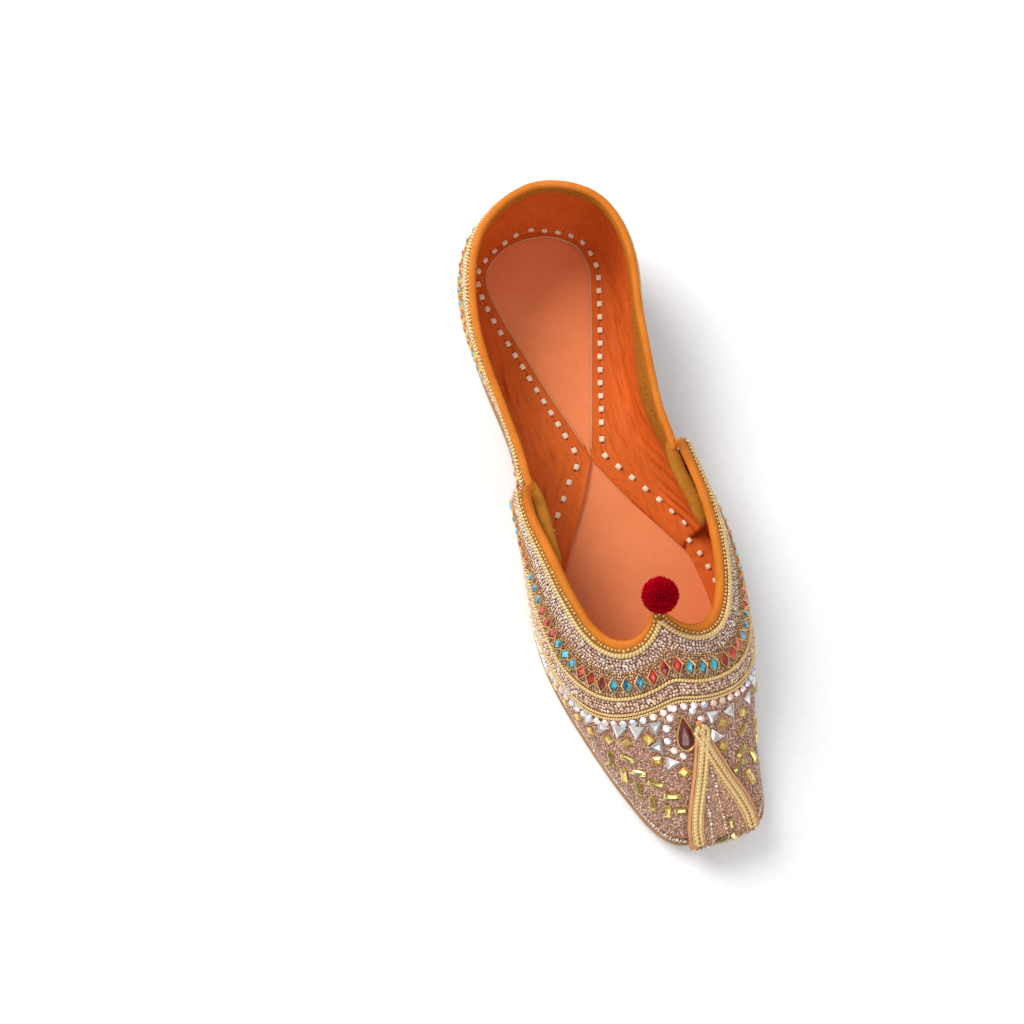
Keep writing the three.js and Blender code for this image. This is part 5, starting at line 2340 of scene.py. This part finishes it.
TOE_TRIANGLES = tuple(Ornament(*row) for row in (
    (180.5, -39, -75), (187, -36, -70), (193, -34, -65), (199.5, -31.5, -60), (204, -28, -50),
    (207, -23, -25), (209.5, -17), (210, -10.5, 0), (217, -11, 23), (223.5, -7.5, 79), (212, 10.5),
    (219.5, 10.5, 75), (212, 18.5, 18), (209.5, 27, 20),
))
TOE_SQUARES = tuple(Ornament(*row) for row in (
    (191, -37, -60), (197.5, -34.5, -60), (203.5, -32, -50), (209, -27), (212, -21), (213, -14),
    (228, -4), (221.5, -12.5, 30), (215.5, 14, 0), (223.5, 12, 0), (213.5, 23, 10),
))
TOE_BAGUETTES = tuple(Ornament(*row) for row in (
    (217.5, -22, 55), (216, -27.5), (223, -24.5), (223.5, -19.5, 65), (229.5, -15, 60),
    (229.5, -21), (236, -17.5), (235.5, -10.5, 70), (240.5, -13), (241.5, -8.5, 75), (205.5, 33.5),
    (218, 28.5, 15), (220, 21.5, -60), (223, 28.5, 15), (227, 19, -60), (230, 23.5, 15),
    (232, 16.5, -60), (237, 20, 15),
))
TOE_CRYSTALS = tuple(Ornament(*row) for row in (
    (205, -3.5), (208.2, -4.6), (211.7, -6.6), (216, -7.4), (220, -6), (222.8, -3.2), (208.2, 4),
    (212.2, 6.2), (216.4, 6.4),
))


@dataclass
class Beadwork:
    """All trim of the vamp and the counter."""

    last: Last
    vamp: Vamp
    counter: Skin
    counter_front: float = 110.5

    def build(self) -> None:
        """Makes the trim of both."""
        bench = Bench(self.vamp.skin)
        placed = {"triangles": self.places(TOE_TRIANGLES), "squares": self.places(TOE_SQUARES),
                  "crystals": self.places(TOE_CRYSTALS)}
        Bands("vamp", bench, self.vamp.offset, placed).build()
        Piece("toe_crystals", Finish.CRYSTALS, Slot.STONES, False).make(
            bench.set_at(cut_stone(regular(8, 1.5, CRYSTAL_TURN), 1.1), *placed["crystals"], 0.2))
        self.vamp_field(bench)
        bench = Bench(self.counter, SEED + 1)
        Bands("counter", bench, self.collar_line).build()
        self.counter_field(bench)

    def places(self, rows: Sequence[Ornament]) -> tuple[Array, Array]:
        """Where ornaments lie on the vamp.

        Args:
            rows: the ornaments.

        Returns:
            Flat spots and directions.
        """
        spots = [self.vamp.under(row.station, row.across) for row in rows]
        return np.array(spots), headings(np.radians([row.turn for row in rows]))

    def ends(self) -> tuple[float, float]:
        """First coordinates between which the counter carries trim."""
        share = self.last.share_at(self.counter_front) / self.last.share_at(COUNTER_FRONT)
        return tuple(float(self.counter.x_of(0.5 + k * share / 2)) for k in (-1, 1))

    def collar_line(self, distance: float) -> Array:
        """Path over the counter at a depth below its collar.

        Args:
            distance: the depth.

        Returns:
            Flat path from front end to front end.
        """
        x = np.linspace(*self.ends(), 300)
        line = np.stack([x, np.full(300, distance)], 1)
        return line[line[:, 1] < self.counter.reach(x) - 2.6]

    def vamp_field(self, bench: Bench) -> None:
        """Fills the vamp between its bands and the sole.

        Args:
            bench: the vamp's bench.
        """
        skin, random = self.vamp.skin, bench.random
        high = np.array([skin.xs[-1], skin.ys.max()])
        sets = []
        for pitch, loose, margin, start in VAMP_SPREADS:
            spots = scattered(random, high * (0, -1), high, pitch, loose)
            reach = skin.reach(spots[:, 0])
            keep = ((np.abs(spots[:, 1]) < reach - margin) & (self.vamp.from_wings(spots) > margin * 0.5)
                    & (spots[:, 0] < skin.x_of(250)) & self.vamp.covered(spots))
            spots = spots[keep]
            sets.append(spots[self.vamp.from_throat(spots) > start])
        own, turned = self.places(TOE_BAGUETTES)
        plain = sets[1][sets[1][:, 0] < skin.x_of(203)]
        plain = plain[nearest(plain, own) > 6]
        turns = random.choice([0.0, np.pi / 2, np.pi / 4, -np.pi / 4], len(plain))
        turns = turns + random.normal(0, 0.1, len(plain))
        turns = np.concatenate([turns, np.arctan2(turned[:, 1], turned[:, 0])])
        sets[1] = np.concatenate([plain, own])
        x = np.linspace(skin.x_of(116.0), skin.x_of(254.5), 300)
        border = [np.stack([x, k * (skin.reach(x) - d)], 1) for k in (-1, 1) for d in (0.9, 2.2, 3.5)]
        Field("vamp", bench, sets[0], sets[1], turns, border).build()

    def counter_field(self, bench: Bench) -> None:
        """Fills the counter below its bands.

        Args:
            bench: the counter's bench.
        """
        random = bench.random
        low, high = self.ends()
        sets = []
        for pitch, loose, margin, start in COUNTER_SPREADS:
            spots = scattered(random, np.array([low, start]), np.array([high, 50.0]), pitch, loose)
            sets.append(spots[spots[:, 1] < self.counter.reach(spots[:, 0]) - margin])
        turns = random.choice([0.0, np.pi / 2], len(sets[1]))
        x = np.linspace(low, high, 300)
        border = [np.stack([x, self.counter.reach(x) - d], 1) for d in (0.9, 2.2)]
        Field("counter", bench, sets[0], sets[1], turns, border).build()


@dataclass
class Teardrop:
    """Dark teardrop stone on the middle of the toe."""

    vamp: Vamp
    station: float = 215.0
    across: float = -0.5

    def build(self) -> None:
        """Makes the stone and its collet."""
        bench = Bench(self.vamp.skin, SEED + 2)
        spot = self.vamp.under(self.station, self.across)[None]
        direction = np.array([[-1.0, 0.06]])
        outline = drop(13.0, 6.6)
        Piece("toe_stone", Finish.MAROON_STONE, Slot.STONES).make(
            bench.set_at(dome(outline, 1.7), spot, direction, 0.3, tilt=0.0))
        Piece("toe_stone_collet", Finish.COLLET, Slot.GILT).make(
            bench.set_at(collet(outline, 0.75, 1.3), spot, direction, 0.1, tilt=0.0))


def dome(outline: Array, height: float) -> Form:
    """A polished cabochon.

    Args:
        outline: its girdle (k, 2).
        height: height of its middle.

    Returns:
        The stone.
    """
    middle = np.array([*outline.mean(0), 0.0])
    levels = [(1.0, 0.0)] + [(math.cos(a), math.sin(a) * height) for a in np.linspace(0.12, 1.35, 8)]
    rings = [ring + middle for ring in levelled(outline - middle[:2], levels)]
    return stacked(rings, middle, middle + UP * height)


class FlapRow(NamedTuple):
    """One section of the toe flap."""

    station: float
    height: float
    half: float
    droop: float


FLAP_ROWS = tuple(FlapRow(*row) for row in (
    (255.2, 8.6, 13.5, 0), (255.7, 12, 13.7, 0), (254, 15.4, 13.8, 0.3), (249.6, 18, 13.4, 0.6),
    (242.6, 21.2, 11.4, 0.8), (234, 25, 8, 0.8), (225, 28.8, 4.8, 0.5), (216.5, 32.4, 2.3, 0.2),
    (212.6, 34.1, 0.9, 0.1),
))


# Rows of beads across the flap's bend: distance from its root, start, end and bead size.
FLAP_FRONT_ROWS = ((2.6, -6, 7, 1.4), (4.0, -6, 7, 1.3), (5.4, -6, 7, 1.3))
FLAP_CORNER_ROWS = tuple((x, *span, 1.4) for x in (2.6, 4.0) for span in ((-11.8, -7.2), (8.2, 11.8)))


@dataclass
class ToeFlap:
    """Leather tongue turned back from the sole's tip over the toe, with braid on both legs."""

    last: Last
    middle: float = 5.0
    thickness: float = 2.4
    skew: float = 1.5

    def skin(self) -> Skin:
        """The flap as a skin.

        Returns:
            The skin, with x from the flap's root to its tip and y across.
        """
        path, widths = (curve_through(np.array([row[part] for row in FLAP_ROWS], float), False, 24)
                        for part in (slice(0, 2), slice(2, 4)))
        tangent = unit(np.gradient(path, axis=0))
        out = np.stack([tangent[:, 1], -tangent[:, 0]], 1) * self.thickness / 2
        b = np.linspace(-1, 1, 41)[None, :]
        grids = []
        for side in (1, -1):
            station = (path[:, :1] + side * out[:, :1]) + 0 * b
            height = path[:, 1:] + side * out[:, 1:] - widths[:, 1:] * b**2
            back = self.skew * np.maximum(0, b) ** 2 * widths[:, :1] / widths[0, 0]
            grid = np.stack([self.middle + b * widths[:, :1], back - station, height], -1)
            grids.append(grid + self.last.shift)
        heart = grids[0].mean((0, 1)) - (0, -8, 20)
        return Skin(*grids, walked_length(path), widths[:, 0], path[:, 0], heart)

    def build(self) -> None:
        """Makes the flap and its trim."""
        skin = self.skin()
        flap = wall(skin.outer, skin.inner)
        Piece("flap_leather", Finish.SOLE_EDGE, Slot.SOLE, True, ("toe_flap",)).make(flap)
        bench = Bench(skin, SEED + 3)
        length = skin.xs[-1]
        x = np.linspace(7.0, length - 1.5, 160)
        braids, braid_shade_strips = [], []
        for side in (-1, 1):
            moved = np.stack([x, side * (skin.reach(x) - 1.9)], 1) - (0, side * 1.5)
            moved = moved[np.abs(moved[:, 1]) > 1.3]
            braids.append(bench.braid(moved, 3.5, 1.45))
            braids += [bench.cord(moved + (0, d), 0.36, 1.4, 0.2) for d in (-2.05, 2.05)]
            # Painted shade: a dark strip under each braid shows between its stitches as their shade.
            braid_shade_strips.append(bench.ribbon(moved, 2.1, 0.25))
        Piece("flap_braid", Finish.GOLD_CORD, Slot.GOLD).make(*braids)
        Piece("flap_braid_shade_strip", Finish.BRAID_SHADE, Slot.GOLD).make(*braid_shade_strips)
        rims = [bench.cord(np.stack([run, side * (skin.reach(run) - inwards)], 1), radius, 30.0, lift)
                for run, inwards, radius, lift in ((x, 0.45, 0.55, 0.1), (x[:130], 4.3, 0.4, 0.15))
                for side in (-1, 1)]
        Piece("flap_edges", Finish.CUT_EDGE, Slot.BINDING).make(*rims)
        pearls = []
        inner = np.linspace(6.0, length - 9, 100)
        for start, end in ((-5.4, -1.6), (0.6, 0.2)):
            across = np.interp(inner, (inner[0], inner[-1]), (start, end))
            line = np.stack([inner, across], 1)
            pearls.append(bench.beads(line[np.abs(across) < skin.reach(inner) - 4.6], 1.5, 1.5))
        Piece("flap_pearls", Finish.WHITE_BEADS, Slot.BEADS).make(*pearls)
        self.ground(bench, skin)

    def ground(self, bench: Bench, skin: Skin) -> None:
        """Fills the flap between its braids with copper beads and a few baguettes near its front.

        Args:
            bench: the flap's bench.
            skin: the flap's skin.
        """
        half = 13.0
        spots = scattered(bench.random, np.array([3.0, -half]), np.array([skin.xs[-1] - 6, half]), 0.95, 0.3)
        spots = spots[np.abs(spots[:, 1]) < skin.reach(spots[:, 0]) - 4.4]
        direction = headings(bench.random.uniform(0, np.pi, len(spots)))
        Piece("flap_coils", Finish.COILS, Slot.BEADS).make(
            bench.set_at(ball(5, 3), spots, direction, 0.15, (0.75, 0.36, 0.36), 0.4))
        places = np.array([[11.5, 2.5], [6.4, -1.5], [5.8, 3.0]])
        stone = cut_stone(baguette(4.6, 1.9), 1.3, 0.6, 0.45)
        Piece("flap_baguettes", Finish.OLIVE_GILT, Slot.GILT, False).make(
            bench.set_at(stone, places, headings(np.array([0.0, 1.3, -0.4])), 0.4))
        for name, finish, rows in (("flap_front_beads", Finish.OLIVE_GILT, FLAP_FRONT_ROWS),
                                   ("flap_corner_beads", Finish.WHITE_BEADS, FLAP_CORNER_ROWS)):
            Piece(name, finish, Slot.BEADS).make(*[
                bench.beads(np.stack([np.full(60, x), np.linspace(start, end, 60)], 1), size, 1.5)
                for x, start, end, size in rows])


@dataclass
class Pompom:
    """Ball of cut wool on the point of the throat.

    tie is the point of the throat that it is sewn to.
    """

    tie: Array
    radius: float = 6.5
    strands: int = 2600

    def build(self) -> None:
        """Makes the core, the strands and the neck that ties the ball on."""
        low, high = (np.array(corner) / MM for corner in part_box("pompom"))
        centre = (low + high) / 2
        core = ball(32, 20)
        core = Form(core.points * self.radius * 0.86 + centre, core.quads, core.tris)
        reach = (centre - self.tie) / 2
        long = unit(reach)
        side = np.cross((0, 1.0, 0), long)
        frame = unit(np.stack([side, np.cross(long, side), long]))
        size = (1.5, 1.5, np.linalg.norm(reach) + 0.4)
        neck = swarm(ball(14, 8), (self.tie + reach)[None], frame[None], size)
        for name, form in (("wool_neck", neck), ("wool_ball", core), ("wool_strands", self.tufts(centre))):
            Piece(name, Finish.POMPOM, Slot.POMPOM, True, ("pompom",)).make(form)

    def tufts(self, centre: Array) -> Form:
        """Strands that stand out all round, in a spiral from pole to pole.

        Args:
            centre: middle of the ball.

        Returns:
            The strands.
        """
        random = np.random.default_rng(SEED + 5)
        k = np.arange(self.strands) + 0.5
        polar = np.arccos(1 - 2 * k / self.strands)
        turn = np.pi * (1 + 5**0.5) * k
        out = np.column_stack([headings(turn) * np.sin(polar)[:, None], np.cos(polar)])
        out = unit(out + random.normal(0, 0.06, out.shape))
        side = unit(np.cross(out, random.normal(0, 1, out.shape)))
        frames = np.stack([side, np.cross(out, side), out], 1)
        strand = Form(
            np.array([[0.2, 0, 0], [-0.1, 0.17, 0], [-0.1, -0.17, 0], [0.24, 0.05, 0.55], [-0.12, 0.2, 0.55],
                      [-0.12, -0.2, 0.55], [0.1, 0.1, 1.0]]),
            ring_faces(3, 2), np.array([[3, 4, 6], [4, 5, 6], [5, 3, 6], [2, 1, 0]]))
        length = self.radius * random.uniform(0.18, 0.3, (self.strands, 1))
        scales = np.concatenate([np.full((self.strands, 2), 1.15), length], 1)
        return swarm(strand, centre + out * self.radius * 0.8, frames, scales)


@dataclass
class Studio:
    """Pale floor, soft lights and a camera over the shoe."""

    last: Last
    azimuth: float = -28.0
    elevation: float = 78.0
    roll: float = 11.5
    distance: float = 575.0
    aim: tuple[float, float, float] = (-36.5, 116.0, 20.0)
    lens: float = 52.73

    def build(self) -> None:
        """Makes the floor, lights and camera."""
        self.floor()
        self.light("key", (-0.5, 0.75, 0.85), 0.7, 15.0, (1.0, 0.985, 0.96))
        self.light("fill", (0.75, 0.1, 0.75), 1.0, 1.5, (0.95, 0.97, 1.0))
        self.light("front", (-0.1, -0.85, 0.6), 0.8, 3.5, (1.0, 1.0, 1.0))
        world = bpy.data.worlds.new("room")
        world.use_nodes = True
        sky = world.node_tree.nodes["Background"].inputs
        sky["Color"].default_value = rgba((0.96, 0.97, 1.0))
        sky["Strength"].default_value = 0.5
        bpy.context.scene.world = world
        bpy.context.scene.view_settings.view_transform = "Standard"
        self.camera()

    def floor(self) -> None:
        """Makes the floor."""
        graph = Graph("floor_paper")
        colour = graph.blend(graph.noise(3.0), (0.86, 0.86, 0.87), (0.92, 0.92, 0.92))
        material = graph.finish({"Base Color": colour, "Roughness": 0.75})
        mesh = bpy.data.meshes.new("floor")
        mesh.from_pydata([(-2, -2, 0), (2, -2, 0), (2, 2, 0), (-2, 2, 0)], [], [(0, 1, 2, 3)])
        mesh.materials.append(material)
        floor = bpy.data.objects.new("floor", mesh)
        bpy.context.collection.objects.link(floor)

    def light(self, name: str, place: tuple[float, float, float], size: float, power: float,
              colour: Colour) -> None:
        """Makes a soft square light that faces the shoe.

        Args:
            name: its name.
            place: where it stands, in metres.
            size: its side, in metres.
            power: its power in watts.
            colour: its colour.
        """
        data = bpy.data.lights.new(name, "AREA")
        data.size = size
        data.energy = power
        data.color = colour
        lamp = bpy.data.objects.new(name, data)
        lamp.location = place
        lamp.rotation_mode = "QUATERNION"
        lamp.rotation_quaternion = (Vector((0, 0, 0.03)) - Vector(place)).to_track_quat("-Z", "Y")
        bpy.context.collection.objects.link(lamp)

    def camera(self) -> None:
        """Sets the camera: azimuth and elevation of its place, then a roll about its own axis."""
        a, e, r = (math.radians(x) for x in (self.azimuth, self.elevation, self.roll))
        back = Vector((math.sin(a) * math.cos(e), -math.cos(a) * math.cos(e), math.sin(e)))
        level = Vector((math.cos(a), math.sin(a), 0))
        upright = back.cross(level)
        right = math.cos(r) * level + math.sin(r) * upright
        up = math.cos(r) * upright - math.sin(r) * level
        shift = self.last.shift
        target = Vector((self.aim[0] + shift[0], shift[1] - self.aim[1], self.aim[2]))
        place = (target + back * self.distance) * MM
        data = bpy.data.cameras.new("camera")
        data.lens = self.lens
        data.sensor_width = 36.0
        camera = bpy.data.objects.new("camera", data)
        camera.matrix_world = Matrix.Translation(place) @ Matrix((right, up, back)).transposed().to_4x4()
        bpy.context.collection.objects.link(camera)
        bpy.context.scene.camera = camera


# The suede that shows along the counter's front ends, where they run inside the vamp.
WING_ROLL = {"half_width": 2.7, "half_height": 1.5, "lift": 0.75, "inwards": 1.0, "taper": 9.0,
             "finish": Finish.FACING}
COLLAR_ROLL = {"half_width": 1.5, "half_height": 1.65, "lift": 1.4}
BACK_EDGE_ROLL = {"half_width": 1.1, "half_height": 0.9, "lift": 0.25}


@dataclass
class Edging:
    """Every rolled strip: throat, collar, the counter's front ends and the wings' rear edges."""

    last: Last
    vamp: Vamp
    counter: Skin
    collar_front: float = 114.0

    def build(self) -> None:
        """Makes the strips."""
        throat, foot = self.vamp.throat, self.vamp.foot
        self.roll("throat_binding", "vamp_binding", self.vamp.skin, throat,
                  throat * 0.96 + foot * 0.04, hook=0.5)
        share = self.last.share_at(self.collar_front) / self.last.share_at(COUNTER_FRONT)
        low, high = (float(self.counter.x_of(0.5 + k * share / 2)) for k in (-1, 1))
        xs = self.counter.xs
        overlap = 5
        for name, start, end, rows, shape in (
                ("collar_binding", low, high, 420, COLLAR_ROLL),
                ("wing_facing_right", xs[0], low + overlap, 90, WING_ROLL),
                ("wing_facing_left", high - overlap, xs[-1], 90, WING_ROLL)):
            x = np.linspace(start, end, rows)
            rim, lower = (np.stack([x, np.full(rows, depth)], 1) for depth in (0.0, 2.0))
            self.roll(name, "counter_binding", self.counter, rim, lower, **shape)
        t = np.linspace(0.02, 0.97, 60)[:, None]
        for name, end, near in (("vamp_back_edge_right", 0, 6), ("vamp_back_edge_left", -1, -7)):
            edge, inside = (throat[k] * (1 - t) + foot[k] * t for k in (end, near))
            self.roll(name, "vamp_binding", self.vamp.skin, edge, inside, **BACK_EDGE_ROLL)

    @staticmethod
    def roll(name: str, stands_for: str, skin: Skin, rim: Array, below: Array,
             **shape: float | Finish) -> None:
        """Makes one strip over a wall's rim.

        Args:
            name: the piece's name.
            stands_for: the node that it replaces.
            skin: the wall.
            rim: flat path of the rim.
            below: flat path on the wall's side of the rim.
            shape: sizes of its section.
        """
        Binding(name, stands_for, skin.within(rim, 0.0), skin.within(rim, 1.0), skin.within(below, 0.5),
                **shape).build()


def main() -> None:
    """Builds the shoe part by part, then its floor and lights."""
    logging.basicConfig(level=logging.INFO, format="%(message)s")
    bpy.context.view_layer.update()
    last = Last()
    footbed = Footbed(last)
    heel = counter_skin(last)
    vamp = Vamp(last, vamp_skin(last))
    peak = vamp.skin.within(vamp.throat, 0.5)[len(vamp.throat) // 2]
    for part in (Outsole(last), footbed, QuarterLining(last, footbed), Counter(last, heel), vamp,
                 Edging(last, vamp, heel), VampFlange(last, footbed), Beadwork(last, vamp, heel),
                 Teardrop(vamp), ToeFlap(last), Pompom(peak), Studio(last)):
        part.build()
        LOG.info("%s done", type(part).__name__)


if __name__ == "__main__":
    main()
